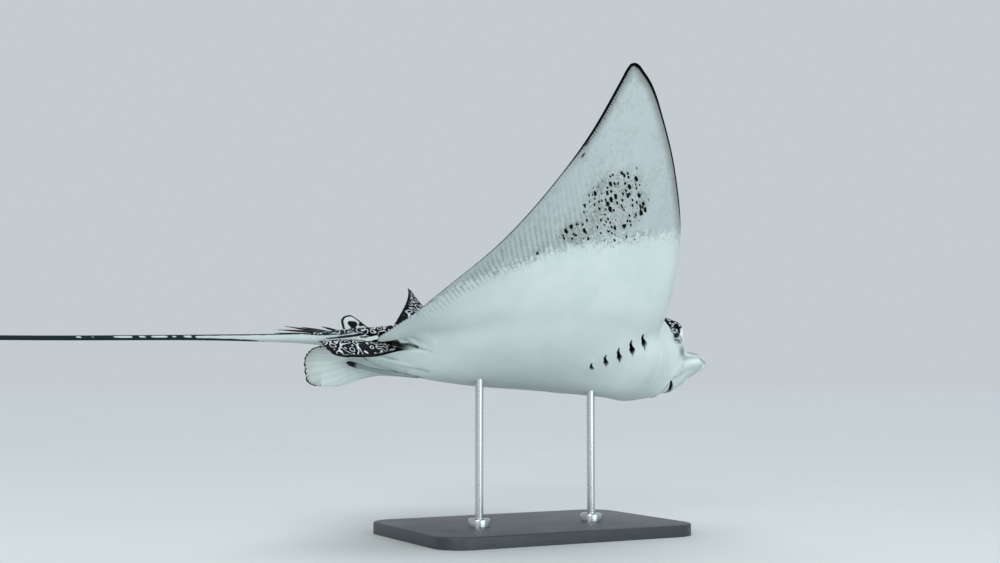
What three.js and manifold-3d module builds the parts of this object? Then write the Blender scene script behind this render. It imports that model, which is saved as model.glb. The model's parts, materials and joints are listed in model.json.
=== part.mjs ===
// A spotted eagle ray, life size, in mid stroke with both wings raised, on a plain display stand.
// The ray is a mature male. It is drawn flat first and then posed: the wings are bent up, twisted
// and cambered, the pelvic fins droop, and the whole animal banks with its right side up.
//
// Sizes of the animal are hundredths of the disc width, as in a species description. "Back" is
// measured along the body from the brow, "out" across it from the midline, and "up" from the
// plane of the wings. Sizes of the stand are millimetres.

import * as THREE from 'three';
import { mergeVertices } from 'three/addons/utils/BufferGeometryUtils.js';
import Module from 'manifold-3d';

const wasm = await Module();
wasm.setup();

// ---- driving sizes ----

const DISC_WIDTH = 1400;              // tip to tip along the flattened wings, mm
const PERCENT = DISC_WIDTH / 100;     // mm in one hundredth of the disc width
const GAP = 0.3;                      // mm between pieces that touch
const GAP_PERCENT = GAP / PERCENT;
const EDGE = 0.07;                    // half the thickness of the thinnest fin edge
const MIDDLE_BACK = 32;               // this point of the body stands over the middle of the base

// Wings, flattened: [out, back]
const WING_ROOT_FRONT = [8.5, 13.3];
const WING_ROOT_REAR = [4.2, 57];
const WING_TIP_OUT = 50;
const LEADING_EDGE = [[8.5, 13.3], [15, 14.3], [25, 16.5], [35, 21.1], [43, 26.3], [47.5, 29.9],
  [49.2, 32.1], [49.85, 33.1], [50, 33.8]];
const TRAILING_EDGE = [[4.2, 57], [5.6, 60.2], [7, 62], [8.2, 62.4], [10, 61.6], [13, 58.8], [20, 52.3],
  [30, 45.3], [40, 39.1], [47.5, 35.7], [49.2, 34.95], [49.85, 34.4], [50, 33.8]];
const WING_ABOVE = 3.2;               // thickness of the wing above its plane, at the midline
const WING_BELOW = 2.4;               // and below
const WING_LEAST = 0.2;               // thickness left at the tip
const WING_THINNING = 1.2;            // 1 would thin the wing evenly towards the tip
const SECTION_FRONT = 3.08;           // how full the front of the wing section is
const SECTION_REAR = 0.04;            // and the rear edge
const OUTER_WING_FROM = 0.5;          // share of the span where the outer wing begins

// Body along the midline: [back, size]
const TOP = [[-1.7, -1.2], [-1.2, -0.6], [0.5, 0.3], [3, 0.5], [4.4, 0.8], [4.7, 2.5], [5.1, 4.45], [5.8, 4.9],
  [7.2, 5.6], [10, 6.6], [16, 7.1], [25, 7.1], [35, 6], [45, 4.3], [55, 2.8], [62, 1.8], [68, 0.9],
  [76, 0.55], [90, 0.35], [130, 0.26], [270, 0.1]];
const BOTTOM = [[-1.7, -1.2], [-1.2, -1.6], [0.5, -2.85], [3, -4.05], [6, -5.75], [9, -6.6], [12, -6.9],
  [16, -6.7], [20, -6.2], [25, -5.3], [35, -4.8], [45, -4.8], [52, -4.3], [57, -3.1], [62, -1.6],
  [68, -0.8], [76, -0.5], [90, -0.33], [130, -0.26], [270, -0.1]];
const BACK_WIDTH = [[-1.7, 0.3], [-1, 1.5], [0, 2.5], [1, 3.1], [2, 3.85], [3, 4.05], [4.4, 4.05], [5, 4.35],
  [5.8, 5.8], [6.8, 6.6], [8, 6.8], [9.5, 7], [11.5, 7.5], [13.3, 8.5], [17, 12], [25, 16], [35, 16],
  [45, 12.5], [52, 8.6], [57, 4.2], [62, 2.2], [68, 1], [76, 0.55], [90, 0.35], [130, 0.26], [270, 0.1]];
const CHEST_WIDTH = [[13.3, 8.5], [17, 9.6], [25, 12.5], [35, 13], [45, 11], [52, 8], [57, 4.2]];
const SIDE_HEIGHT = [[-1.7, -1.2], [3, -1.9], [4.4, -1.5], [5, 0], [5.6, 2.75], [7, 2.2],
  [10, 1.3], [13.3, 0], [270, 0]];
const HEAD_SQUARENESS = 2.6;          // power of the rounding of a head or tail section, 2 is an ellipse
const UNDER_SQUARENESS = [[-1.7, 2.4], [1, 2.2], [4.4, 1.9], [7, 1.7], [10, 2], [13.3, 2.4], [270, 2.6]];
const TRUNK_SQUARENESS = 2;
const TRUNK_FALL = 1.5;               // the trunk falls off softly into the wings
const SNOUT_TIP = -1.65;
const BROW = 4.45;                    // where the snout lobe meets the head
const NECK = WING_ROOT_FRONT[1];      // where the head meets the trunk
const VENT = WING_ROOT_REAR[1];       // where the trunk meets the tail
const TAIL_CUTS = [VENT, 76, 110, 160, 212, 265];
const TAIL_SWEEP_FROM = 120;          // the whip curves gently from here
const TAIL_SWEEP_OUT = 16;            // to the left at the tip
const TAIL_LINE = [[50, 0], [57, 0.3], [65, 0.9], [80, 0.5], [110, -0.8], [160, -2.2], [270, 1]];

// Pose
const WING_LIFT = [[0, 0], [3, 0], [15, 34], [30, 44], [50, 54.5]];  // [out, degrees above level]
const HINGE_UP = 2.6;                 // the wings bend about a line this far above their plane
const TWIST = 14.9;                   // degrees, leading edge up
const TWIST_EASE = 6.6;
const TWIST_FROM = 5;                 // out, where twist and camber begin
const TWIST_AXIS_BACK = 30;
const LEFT_TIP_CURL = 53;             // degrees, the tip of the left wing turns its front edge down
const LEFT_TIP_FORWARD = 3.8;         // reaches further forward than the right one
const LEFT_TIP_DROP = 1.9;            // and bends inward a little less
const LEFT_TIP_FROM = 29;
const CAMBER = 0.03;                  // how far the rear of the wing hangs
const CORNER_HANG = 2;                // how far the free rear corner of the wing hangs
const CORNER_BACK = 62.3;
const CORNER_OUT = 7;
const TIP_FORWARD = 1.6;
const BANK = 20;                      // degrees, right side up
const NOSE_DOWN = 1.5;

// Small parts
const EYE_BACK = 8.6;
const EYE_OUT = 6.2;
const EYE_UP = 1.6;
const EYE_RADIUS = 0.98;
const PELVIC_FRONT = [[0, 49.5], [2, 52.5], [3.9, 56], [5, 60], [5.5, 64], [5.6, 66.4]];   // [span, back]
const PELVIC_REAR = [[0, 66], [0.8, 68.3], [3, 69], [4.6, 68.5], [5.3, 67.8], [5.6, 66.4]];
const PELVIC_DROOP = 23;              // degrees
const PELVIC_OUT = 0.6;
const PELVIC_UP = -0.6;
const PELVIC_THICKNESS = 0.5;
const DORSAL_FRONT = [[0, 55.5], [1.2, 58.2], [2.6, 60.4], [3.4, 61.6], [3.8, 62.4]];
const DORSAL_REAR = [[0, 63.4], [1.2, 63.8], [2.6, 64], [3.4, 63.5], [3.8, 62.4]];
const DORSAL_THICKNESS = 0.45;
const DORSAL_UP = 0.4;
const SPINE_RADIUS = 2.8;             // mm
const SPINES = [                      // [base back, tip back, rise of the tip, out]
  [67.6, 74.6, 0.35, 0.34],
  [67, 74.4, 0.6, -0.34],
  [66.2, 73, 1.25, 0],
  [65.2, 70.4, 1.2, 0.3],
  [64.8, 67.4, 0.9, -0.3],
];
const CLASPER_BASE = [51.4, 1.4, -4.1];   // [back, out, up]
const CLASPER_TIP = [63, 2.2, -2.7];
const RIGHT_CLASPER_UP = 0.35;          // the right one is drawn up against the tail
const CLASPER_RADIUS = 0.42;

// Stand, mm
const BELLY_HEIGHT = 400;             // wing plane at the brow above the floor
const BASE_LENGTH = 620;
const BASE_WIDTH = 420;
const BASE_THICKNESS = 26;
const BASE_CORNER = 60;
const ROD_RADIUS = 9;
const ROD_BACKS = { stand_rod_front: 22, stand_rod_rear: 42 };
const ROD_IN_BELLY = 40;              // how far a rod would reach in, before it is cut to the belly
const COLLAR_RADIUS = 24;
const COLLAR_HEIGHT = 16;

// ---- curves ----

const radians = THREE.MathUtils.degToRad;
const { clamp, lerp: mix, smoothstep } = THREE.MathUtils;
const eased = (share) => 0.5 - 0.5 * Math.cos(share * Math.PI);

// A smooth curve through the knots that never overshoots them.
function through(knots) {
  const x = knots.map((k) => k[0]);
  const y = knots.map((k) => k[1]);
  const slope = x.slice(1).map((value, i) => (y[i + 1] - y[i]) / (value - x[i]));
  const tangent = x.map((_, i) => {
    if (i === 0) return slope[0];
    if (i === x.length - 1) return slope[i - 1];
    if (slope[i - 1] * slope[i] <= 0) return 0;
    const before = x[i] - x[i - 1];
    const after = x[i + 1] - x[i];
    const a = 2 * after + before;
    const b = after + 2 * before;
    return (a + b) / (a / slope[i - 1] + b / slope[i]);
  });
  return (at) => {
    const q = clamp(at, x[0], x[x.length - 1]);
    let i = 0;
    while (i < x.length - 2 && q > x[i + 1]) i += 1;
    const h = x[i + 1] - x[i];
    const t = (q - x[i]) / h;
    return (1 + 2 * t) * (1 - t) ** 2 * y[i] + t * (1 - t) ** 2 * h * tangent[i]
      + t * t * (3 - 2 * t) * y[i + 1] + t * t * (t - 1) * h * tangent[i + 1];
  };
}

const leadingEdge = through(LEADING_EDGE);
const trailingEdge = through(TRAILING_EDGE);
const topLine = through(TOP);
const bottomLine = through(BOTTOM);
const halfWidth = through(BACK_WIDTH);
const chestWidth = through(CHEST_WIDTH);
const sideHeight = through(SIDE_HEIGHT);
const underSquareness = through(UNDER_SQUARENESS);
const wingLift = through(WING_LIFT);
const tailLine = through(TAIL_LINE);

// ---- pose ----

// The bent span: where each distance out along the flat wing lands, added up in short steps.
const SPAN_STEP = 0.25;
const bentSpan = [{ out: 0, up: 0 }];
for (let out = SPAN_STEP; out <= WING_TIP_OUT + SPAN_STEP; out += SPAN_STEP) {
  const lift = radians(wingLift(out - SPAN_STEP / 2));
  const last = bentSpan[bentSpan.length - 1];
  bentSpan.push({ out: last.out + Math.cos(lift) * SPAN_STEP, up: last.up + Math.sin(lift) * SPAN_STEP });
}

const toWorld = new THREE.Matrix4()
  .makeTranslation(0, 0, BELLY_HEIGHT)
  .multiply(new THREE.Matrix4().makeRotationY(radians(NOSE_DOWN)))
  .multiply(new THREE.Matrix4().makeRotationX(radians(-BANK)))
  .multiply(new THREE.Matrix4().makeTranslation(MIDDLE_BACK * PERCENT, 0, 0));

// From the flat drawing to the posed animal, in mm. Out is positive to the left.
function posed(back, out, up) {
  const side = Math.sign(out) || 1;
  const span = Math.abs(out);
  const index = Math.min(Math.floor(span / SPAN_STEP), bentSpan.length - 2);
  const part = span / SPAN_STEP - index;
  const lift = radians(wingLift(span));
  const share = clamp((span - TWIST_FROM) / (WING_TIP_OUT - TWIST_FROM), 0, 1);
  const leftTip = out > 0 ? smoothstep(span, LEFT_TIP_FROM, WING_TIP_OUT) : 0;
  const twist = radians(TWIST * share - TWIST_EASE * share * share - LEFT_TIP_CURL * leftTip);
  const axis = mix(TWIST_AXIS_BACK, LEADING_EDGE.at(-1)[1], share);
  const behind = Math.max(0, back - axis);
  const ahead = axis - back;
  const hang = CORNER_HANG * smoothstep(back, CORNER_BACK - 10, CORNER_BACK) * smoothstep(span, 3, CORNER_OUT);
  const low = up - HINGE_UP - hang - LEFT_TIP_DROP * leftTip;
  const above = ahead * Math.sin(twist) + low * Math.cos(twist) - CAMBER * (behind * share) ** 2;
  const forward = ahead * Math.cos(twist) - low * Math.sin(twist) - axis
    + TIP_FORWARD * share * share + LEFT_TIP_FORWARD * leftTip;
  const sweep = Math.max(0, (back - TAIL_SWEEP_FROM) / (TAIL_CUTS.at(-1) - TAIL_SWEEP_FROM)) ** 2;
  const [near, next] = [bentSpan[index], bentSpan[index + 1]];
  const y = side * (mix(near.out, next.out, part) - Math.sin(lift) * above);
  const z = mix(near.up, next.up, part) + Math.cos(lift) * above + HINGE_UP;
  const tailRise = tailLine(back) * (1 - smoothstep(span, 3, 6));
  return new THREE.Vector3(forward, y + TAIL_SWEEP_OUT * sweep, z + tailRise)
    .multiplyScalar(PERCENT)
    .applyMatrix4(toWorld);
}

// ---- thickness of the flat drawing ----

function wingThickness(chordShare, out, side) {
  const most = side > 0 ? WING_ABOVE : WING_BELOW;
  const here = most * (1 - out / WING_TIP_OUT) ** WING_THINNING + WING_LEAST;
  const section = SECTION_FRONT * Math.sqrt(chordShare) * (1 - chordShare) ** 1.5 + SECTION_REAR * chordShare;
  return here * section;
}

// How far the surface stands above (side 1) or below (side -1) the middle height of the section.
function thickness(back, out, chordShare, side) {
  const middle = sideHeight(back);
  const height = side > 0 ? topLine(back) - middle : middle - bottomLine(back);
  const inTrunk = back > NECK && back < VENT;
  const width = side < 0 && inTrunk ? chestWidth(back) : halfWidth(back);
  const q = clamp(Math.abs(out) / width, 0, 1);
  const trunkness = smoothstep(back, NECK - 1.3, NECK + 6.7) * (1 - smoothstep(back, VENT - 7, VENT));
  const squareness = side > 0 ? HEAD_SQUARENESS : underSquareness(back);
  const power = mix(squareness, TRUNK_SQUARENESS, trunkness);
  const fall = mix(1 / power, TRUNK_FALL, trunkness);
  const body = height * (1 - q ** power) ** fall;
  return Math.max(Math.hypot(body, wingThickness(chordShare, Math.abs(out), side)), EDGE);
}

// ---- solids ----

// A closed solid between two surfaces over one grid. at(i, j) gives its two points.
function slab(rows, columns, at) {
  const positions = [];
  const index = [];
  for (let i = 0; i <= rows; i += 1) {
    for (let j = 0; j <= columns; j += 1) {
      for (const point of at(i / rows, j / columns)) positions.push(point.x, point.y, point.z);
    }
  }
  const vertex = (i, j, layer) => 2 * (i * (columns + 1) + j) + layer;
  const quad = (a, b, c, d) => index.push(a, b, c, a, c, d);
  for (let i = 0; i < rows; i += 1) {
    for (let j = 0; j < columns; j += 1) {
      quad(vertex(i, j, 0), vertex(i + 1, j, 0), vertex(i + 1, j + 1, 0), vertex(i, j + 1, 0));
      quad(vertex(i, j, 1), vertex(i, j + 1, 1), vertex(i + 1, j + 1, 1), vertex(i + 1, j, 1));
    }
    quad(vertex(i, 0, 0), vertex(i, 0, 1), vertex(i + 1, 0, 1), vertex(i + 1, 0, 0));
    quad(vertex(i, columns, 0), vertex(i + 1, columns, 0), vertex(i + 1, columns, 1), vertex(i, columns, 1));
  }
  for (let j = 0; j < columns; j += 1) {
    quad(vertex(0, j, 0), vertex(0, j + 1, 0), vertex(0, j + 1, 1), vertex(0, j, 1));
    quad(vertex(rows, j, 0), vertex(rows, j, 1), vertex(rows, j + 1, 1), vertex(rows, j + 1, 0));
  }
  const geometry = new THREE.BufferGeometry();
  geometry.setAttribute('position', new THREE.Float32BufferAttribute(positions, 3));
  geometry.setIndex(index);
  return turnedOutward(geometry);
}

function turnedOutward(geometry) {
  const position = geometry.getAttribute('position');
  const index = geometry.index.array;
  const corner = [new THREE.Vector3(), new THREE.Vector3(), new THREE.Vector3()];
  let volume = 0;
  for (let i = 0; i < index.length; i += 3) {
    corner.forEach((point, k) => point.fromBufferAttribute(position, index[i + k]));
    volume += corner[0].dot(corner[1].clone().cross(corner[2]));
  }
  if (volume < 0) geometry.setIndex(Array.from(index).reverse());
  return geometry;
}

function solidOf(geometry) {
  const bare = geometry.clone();
  bare.deleteAttribute('normal');
  bare.deleteAttribute('uv');
  const merged = mergeVertices(bare, 1e-3);
  return new wasm.Manifold(new wasm.Mesh({
    numProp: 3,
    vertProperties: new Float32Array(merged.getAttribute('position').array),
    triVerts: new Uint32Array(merged.index.array),
  }));
}

function geometryOf(solid) {
  const mesh = solid.getMesh();
  const geometry = new THREE.BufferGeometry();
  geometry.setAttribute('position', new THREE.Float32BufferAttribute(mesh.vertProperties, 3));
  geometry.setIndex(Array.from(mesh.triVerts));
  return geometry;
}

const cut = (geometry, ...cutters) =>
  geometryOf(cutters.reduce((solid, cutter) => solid.subtract(cutter), solidOf(geometry)));

// Head, trunk and tail: one stretch of the body from one section to another. In the trunk the
// sections end at the wing root, elsewhere they close on themselves. Grown a little, the stretch
// is a cutter that leaves a gap round the body.
function bodyStretch([from, to, rows, columns], grow = 0) {
  const isTrunk = from > NECK && to < VENT;
  return slab(rows, columns, (u, v) => {
    const back = mix(from, to, isTrunk ? eased(u) : u);
    const chordShare = clamp((back - NECK) / (VENT - NECK), 0, 1);
    const rootOut = mix(WING_ROOT_FRONT[0], WING_ROOT_REAR[0], chordShare) - GAP_PERCENT / 2;
    const limit = (isTrunk ? rootOut : halfWidth(back)) + grow;
    const across = 2 * v - 1;
    const out = limit * Math.sign(across) * Math.sin(Math.abs(across) * Math.PI / 2) ** 0.77;
    const middle = sideHeight(back);
    const top = middle + thickness(back, out, isTrunk ? chordShare : 0, 1) + grow;
    const bottom = middle - thickness(back, out, isTrunk ? chordShare : 0, -1) - grow;
    return [posed(back, out, top), posed(back, out, bottom)];
  });
}

// One length of a wing between two shares of its span.
function wingLength(side, from, to, rows, columns) {
  return slab(rows, columns, (u, v) => {
    const share = mix(from, to, u);
    const front = mix(WING_ROOT_FRONT[0], WING_TIP_OUT, share);
    const rear = mix(WING_ROOT_REAR[0], WING_TIP_OUT, share);
    const chordShare = eased(v);
    const out = mix(front, rear, chordShare) + (from === 0 ? GAP_PERCENT / 2 : 0);
    const back = mix(leadingEdge(front), trailingEdge(rear), chordShare);
    const middle = sideHeight(back);
    const top = middle + thickness(back, out, chordShare, 1);
    const bottom = middle - thickness(back, out, chordShare, -1);
    return [posed(back, side * out, top), posed(back, side * out, bottom)];
  });
}

// A flat fin. place(back, span, across) puts a point of it on the body.
function fin(frontKnots, rearKnots, halfThickness, rows, columns, place) {
  const front = through(frontKnots);
  const rear = through(rearKnots);
  const tip = frontKnots.at(-1)[0];
  return slab(rows, columns, (u, v) => {
    const span = tip * Math.sin(u * Math.PI / 2) * 0.995;
    const chordShare = eased(v);
    const back = mix(front(span), rear(span), chordShare);
    const half = EDGE + halfThickness * (1 - 0.8 * u) * Math.sin(chordShare * Math.PI);
    return [place(back, span, half), place(back, span, -half)];
  });
}

function pelvicFin(side) {
  const droop = radians(PELVIC_DROOP);
  return fin(PELVIC_FRONT, PELVIC_REAR, PELVIC_THICKNESS, 7, 8, (back, span, across) => posed(
    back,
    side * (PELVIC_OUT + span * Math.cos(droop) + across * Math.sin(droop)),
    PELVIC_UP - span * Math.sin(droop) + across * Math.cos(droop),
  ));
}

function dorsalFin() {
  return fin(DORSAL_FRONT, DORSAL_REAR, DORSAL_THICKNESS, 7, 8, (back, span, across) => posed(
    back,
    across,
    DORSAL_UP + span,
  ));
}

// A turned piece from one point to another, its profile given as [share of length, radius].
function turned(profile, from, to, sides) {
  const axis = to.clone().sub(from);
  const length = axis.length();
  const points = profile.map(([share, radius]) => new THREE.Vector2(radius, share * length));
  const geometry = new THREE.LatheGeometry(points, sides);
  const turn = new THREE.Quaternion().setFromUnitVectors(new THREE.Vector3(0, 1, 0), axis.normalize());
  geometry.applyQuaternion(turn);
  geometry.translate(from.x, from.y, from.z);
  return geometry;
}

function clasper(side) {
  const raised = side < 0 ? RIGHT_CLASPER_UP : 0;
  const from = posed(CLASPER_BASE[0], side * CLASPER_BASE[1], CLASPER_BASE[2] + raised);
  const to = posed(CLASPER_TIP[0], side * CLASPER_TIP[1], CLASPER_TIP[2] + raised);
  const radius = CLASPER_RADIUS * PERCENT;
  const profile = [[0, 0], [0.02, 0.9 * radius], [0.7, 0.75 * radius], [0.85, 1.05 * radius],
    [0.95, 0.9 * radius], [1, 0]];
  return turned(profile, from, to, 12);
}

function tailSpine([start, end, rise, out], grow = 0) {
  const from = posed(start, out, topLine(start) - 0.1);
  const to = posed(end, out, topLine(end) + rise);
  const profile = [[0, 0], [0.03, SPINE_RADIUS + grow], [0.5, 0.8 * SPINE_RADIUS + grow], [1, 0]];
  return turned(profile, from, to, 6);
}

function eye(side, grow = 0) {
  const geometry = new THREE.SphereGeometry(EYE_RADIUS * PERCENT + grow, 14, 10);
  const centre = posed(EYE_BACK, side * EYE_OUT, EYE_UP);
  return geometry.translate(centre.x, centre.y, centre.z);
}

function standBase() {
  const x = BASE_LENGTH / 2 - BASE_CORNER;
  const y = BASE_WIDTH / 2 - BASE_CORNER;
  const outline = new THREE.Shape();
  outline.absarc(x, y, BASE_CORNER, 0, Math.PI / 2);
  outline.absarc(-x, y, BASE_CORNER, Math.PI / 2, Math.PI);
  outline.absarc(-x, -y, BASE_CORNER, Math.PI, 1.5 * Math.PI);
  outline.absarc(x, -y, BASE_CORNER, 1.5 * Math.PI, 2 * Math.PI);
  return new THREE.ExtrudeGeometry(outline, { depth: BASE_THICKNESS, bevelEnabled: false, curveSegments: 6 });
}

// A round steel rod with a wider foot collar, from the base up into the belly.
function standRod(back) {
  const foot = posed(back, 0, bottomLine(back));
  const from = new THREE.Vector3(foot.x, foot.y, BASE_THICKNESS + GAP);
  const to = new THREE.Vector3(foot.x, foot.y, foot.z + ROD_IN_BELLY);
  const collar = COLLAR_HEIGHT / (to.z - from.z);
  const profile = [[0, 0], [0, COLLAR_RADIUS], [collar, COLLAR_RADIUS], [collar, ROD_RADIUS],
    [1, ROD_RADIUS], [1, 0]];
  return turned(profile, from, to, 20);
}

// ---- the model ----

const FINISH = {
  pale: { color: 0xc9d6d4, roughness: 0.45, metalness: 0 },
  dark: { color: 0x1b2023, roughness: 0.4, metalness: 0 },
  eye: { color: 0x0b0c0d, roughness: 0.1, metalness: 0 },
  spine: { color: 0x2b2a27, roughness: 0.5, metalness: 0 },
  base: { color: 0x24272a, roughness: 0.5, metalness: 0 },
  steel: { color: 0xb4b8bb, roughness: 0.3, metalness: 1 },
};

const model = new THREE.Group();

function addPiece(name, geometry, finish) {
  geometry.computeVertexNormals();
  const mesh = new THREE.Mesh(geometry, new THREE.MeshStandardMaterial(FINISH[finish]));
  mesh.name = name;
  model.add(mesh);
}

const snoutLobe = [SNOUT_TIP, BROW, 7, 16];
const head = [BROW + GAP_PERCENT, NECK, 10, 16];
const trunk = [NECK + GAP_PERCENT, VENT - GAP_PERCENT, 16, 16];
const tailLengths = TAIL_CUTS.slice(1).map((to, i) =>
  [TAIL_CUTS[i], to - GAP_PERCENT, i === 0 ? 8 : 7, i === 0 ? 16 : 8]);
const [, tailBaseEnd, ...tailBaseGrid] = tailLengths[0];
const tailBase = [VENT - 3 * GAP_PERCENT, tailBaseEnd, ...tailBaseGrid];
const aroundBody = [trunk, tailBase].map((stretch) => solidOf(bodyStretch(stretch, 2 * GAP_PERCENT)));
const sockets = [1, -1].map((side) => solidOf(eye(side, GAP)));

addPiece('snout_lobe', bodyStretch(snoutLobe), 'pale');
addPiece('head', cut(bodyStretch(head), ...sockets), 'pale');
addPiece('trunk', bodyStretch(trunk), 'pale');
for (const [sideName, side] of [['left', 1], ['right', -1]]) {
  const split = GAP_PERCENT / (WING_TIP_OUT - WING_ROOT_FRONT[0]);
  addPiece(`wing_${sideName}_inner`, wingLength(side, 0, OUTER_WING_FROM, 8, 16), 'pale');
  addPiece(`wing_${sideName}_outer`, wingLength(side, OUTER_WING_FROM + split, 0.998, 9, 16), 'pale');
  addPiece(`pelvic_fin_${sideName}`, cut(pelvicFin(side), ...aroundBody), 'pale');
  addPiece(`clasper_${sideName}`, cut(clasper(side), ...aroundBody), 'pale');
  addPiece(`eye_${sideName}`, eye(side), 'eye');
}
addPiece('dorsal_fin', cut(dorsalFin(), ...aroundBody), 'dark');
tailLengths.forEach((length, i) => addPiece(`tail_${i + 1}`, bodyStretch(length), i === 0 ? 'pale' : 'dark'));
SPINES.forEach((spine, i) => {
  const others = SPINES.slice(0, i).map((other) => solidOf(tailSpine(other, GAP)));
  addPiece(`tail_spine_${i + 1}`, cut(tailSpine(spine), ...aroundBody, ...others), 'spine');
});
addPiece('stand_base', standBase(), 'base');
for (const [name, back] of Object.entries(ROD_BACKS)) {
  addPiece(name, cut(standRod(back), ...aroundBody), 'steel');
}

export default model;
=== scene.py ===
"""A spotted eagle ray, life size, as a museum would show it: one painted skin over the whole
animal, glass eyes, five horny tail spines, and a plain stand of a board and two steel rods.

The animal is modelled flat and level, then posed. Its sizes are hundredths of the disc width:
"back" is measured along the body from the brow, "out" across it from the midline, positive to
the animal's left, and "up" from the plane of the wings.
"""

import json
import math
from functools import partial

import bmesh
import bpy
import numpy as np
from mathutils import Matrix, Vector

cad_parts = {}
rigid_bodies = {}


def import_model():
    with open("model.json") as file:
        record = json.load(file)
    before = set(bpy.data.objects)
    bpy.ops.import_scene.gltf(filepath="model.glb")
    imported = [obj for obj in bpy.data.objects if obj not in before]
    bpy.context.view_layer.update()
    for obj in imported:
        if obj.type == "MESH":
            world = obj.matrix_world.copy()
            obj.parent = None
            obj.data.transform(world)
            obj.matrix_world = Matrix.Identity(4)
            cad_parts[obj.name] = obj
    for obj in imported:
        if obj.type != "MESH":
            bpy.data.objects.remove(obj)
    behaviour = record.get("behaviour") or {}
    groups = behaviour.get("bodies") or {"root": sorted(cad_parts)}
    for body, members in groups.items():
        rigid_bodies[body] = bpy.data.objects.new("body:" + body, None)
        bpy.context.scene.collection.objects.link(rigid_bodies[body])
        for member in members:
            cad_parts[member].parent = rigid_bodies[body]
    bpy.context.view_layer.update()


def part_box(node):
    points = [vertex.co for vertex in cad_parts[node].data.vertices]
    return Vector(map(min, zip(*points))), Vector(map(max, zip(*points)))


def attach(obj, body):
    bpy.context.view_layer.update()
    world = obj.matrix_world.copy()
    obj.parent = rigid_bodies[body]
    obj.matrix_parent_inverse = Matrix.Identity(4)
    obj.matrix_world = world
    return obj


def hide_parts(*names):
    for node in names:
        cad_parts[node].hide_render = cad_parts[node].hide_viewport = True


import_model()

PERCENT = 0.014                 # metres in one hundredth of the disc width
MM = 0.001

# ---- sizes of the animal, as its solids have them ----

WING_ROOT_FRONT = (8.5, 13.3)   # out, back
WING_ROOT_REAR = (4.2, 57)
WING_TIP_OUT = 50
WING_ABOVE, WING_BELOW, WING_LEAST, WING_THINNING = 3.2, 2.4, 0.2, 1.2
SECTION_FRONT, SECTION_REAR = 3.08, 0.04
EDGE = 0.07
SNOUT_TIP, NECK, VENT, TAIL_TIP = -1.7, 13.3, 57, 264.8
TAIL_THINS_AT = 76              # from here the tail is a whip, drawn with fewer sides
HEAD_SQUARENESS, TRUNK_SQUARENESS, TRUNK_FALL = 2.6, 2, 1.5
UNDER_SQUARENESS = ((-1.7, 2.4), (1, 2.2), (4.4, 1.9), (7, 1.7), (10, 2), (13.3, 2.4), (270, 2.6))

LEADING_EDGE = ((8.5, 13.3), (15, 14.3), (25, 16.5), (35, 21.1), (43, 26.3), (47.5, 29.9),
                (49.2, 32.1), (49.85, 33.1), (50, 33.8))
TRAILING_EDGE = ((4.2, 57), (5.6, 60.2), (7, 62), (8.2, 62.4), (10, 61.6), (13, 58.8), (20, 52.3),
                 (30, 45.3), (40, 39.1), (47.5, 35.7), (49.2, 34.95), (49.85, 34.4), (50, 33.8))
TOP = ((-1.7, -1.2), (-1.2, -0.6), (0.5, 0.3), (3, 0.5), (4.4, 0.8), (4.7, 2.5), (5.1, 4.45), (5.8, 4.9),
       (7.2, 5.6), (10, 6.6), (16, 7.1), (25, 7.1), (35, 6), (45, 4.3), (55, 2.8), (62, 1.8), (68, 0.9),
       (76, 0.55), (90, 0.35), (130, 0.26), (270, 0.1))
BOTTOM = ((-1.7, -1.2), (-1.2, -1.6), (0.5, -2.85), (3, -4.05), (6, -5.75), (9, -6.6), (12, -6.9),
          (16, -6.7), (20, -6.2), (25, -5.3), (35, -4.8), (45, -4.8), (52, -4.3), (57, -3.1), (62, -1.6),
          (68, -0.8), (76, -0.5), (90, -0.33), (130, -0.26), (270, -0.1))
BACK_WIDTH = ((-1.7, 0.3), (-1, 1.5), (0, 2.5), (1, 3.1), (2, 3.85), (3, 4.05), (4.4, 4.05), (5, 4.35),
              (5.8, 5.8), (6.8, 6.6), (8, 6.8), (9.5, 7), (11.5, 7.5), (13.3, 8.5), (17, 12), (25, 16),
              (35, 16), (45, 12.5), (52, 8.6), (57, 4.2), (62, 2.2), (68, 1), (76, 0.55), (90, 0.35),
              (130, 0.26), (270, 0.1))
CHEST_WIDTH = ((13.3, 8.5), (17, 9.6), (25, 12.5), (35, 13), (45, 11), (52, 8), (57, 4.2))
SIDE_HEIGHT = ((-1.7, -1.2), (3, -1.9), (4.4, -1.5), (5, 0), (5.6, 2.75), (7, 2.2),
               (10, 1.3), (13.3, 0), (270, 0))

PELVIC_FRONT = ((0, 49.5), (2, 52.5), (3.9, 56), (5, 60), (5.5, 64), (5.6, 66.4))   # span, back
PELVIC_REAR = ((0, 66), (0.8, 68.3), (3, 69), (4.6, 68.5), (5.3, 67.8), (5.6, 66.4))
PELVIC_DROOP, PELVIC_OUT, PELVIC_UP, PELVIC_THICKNESS = 23, 0.6, -0.6, 0.5
DORSAL_FRONT = ((0, 55.5), (1.2, 58.2), (2.6, 60.4), (3.4, 61.6), (3.8, 62.4))
DORSAL_REAR = ((0, 63.4), (1.2, 63.8), (2.6, 64), (3.4, 63.5), (3.8, 62.4))
DORSAL_UP, DORSAL_THICKNESS = 0.4, 0.45
CLASPER_BASE = (51.4, 1.4, -4.1)  # back, out, up
CLASPER_TIP = (63, 2.2, -2.7)
CLASPER_RADIUS, RIGHT_CLASPER_UP = 0.42, 0.35
EYE_BACK, EYE_OUT, EYE_UP, EYE_RADIUS = 8.6, 6.2, 1.6, 0.98
SPINES = ((67.6, 74.6, 0.35, 0.34), (67, 74.4, 0.6, -0.34), (66.2, 73, 1.25, 0),
          (65.2, 70.4, 1.2, 0.3), (64.8, 67.4, 0.9, -0.3))   # base back, tip back, rise, out
SPINE_RADIUS = 2.8 * MM

# ---- pose ----

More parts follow.
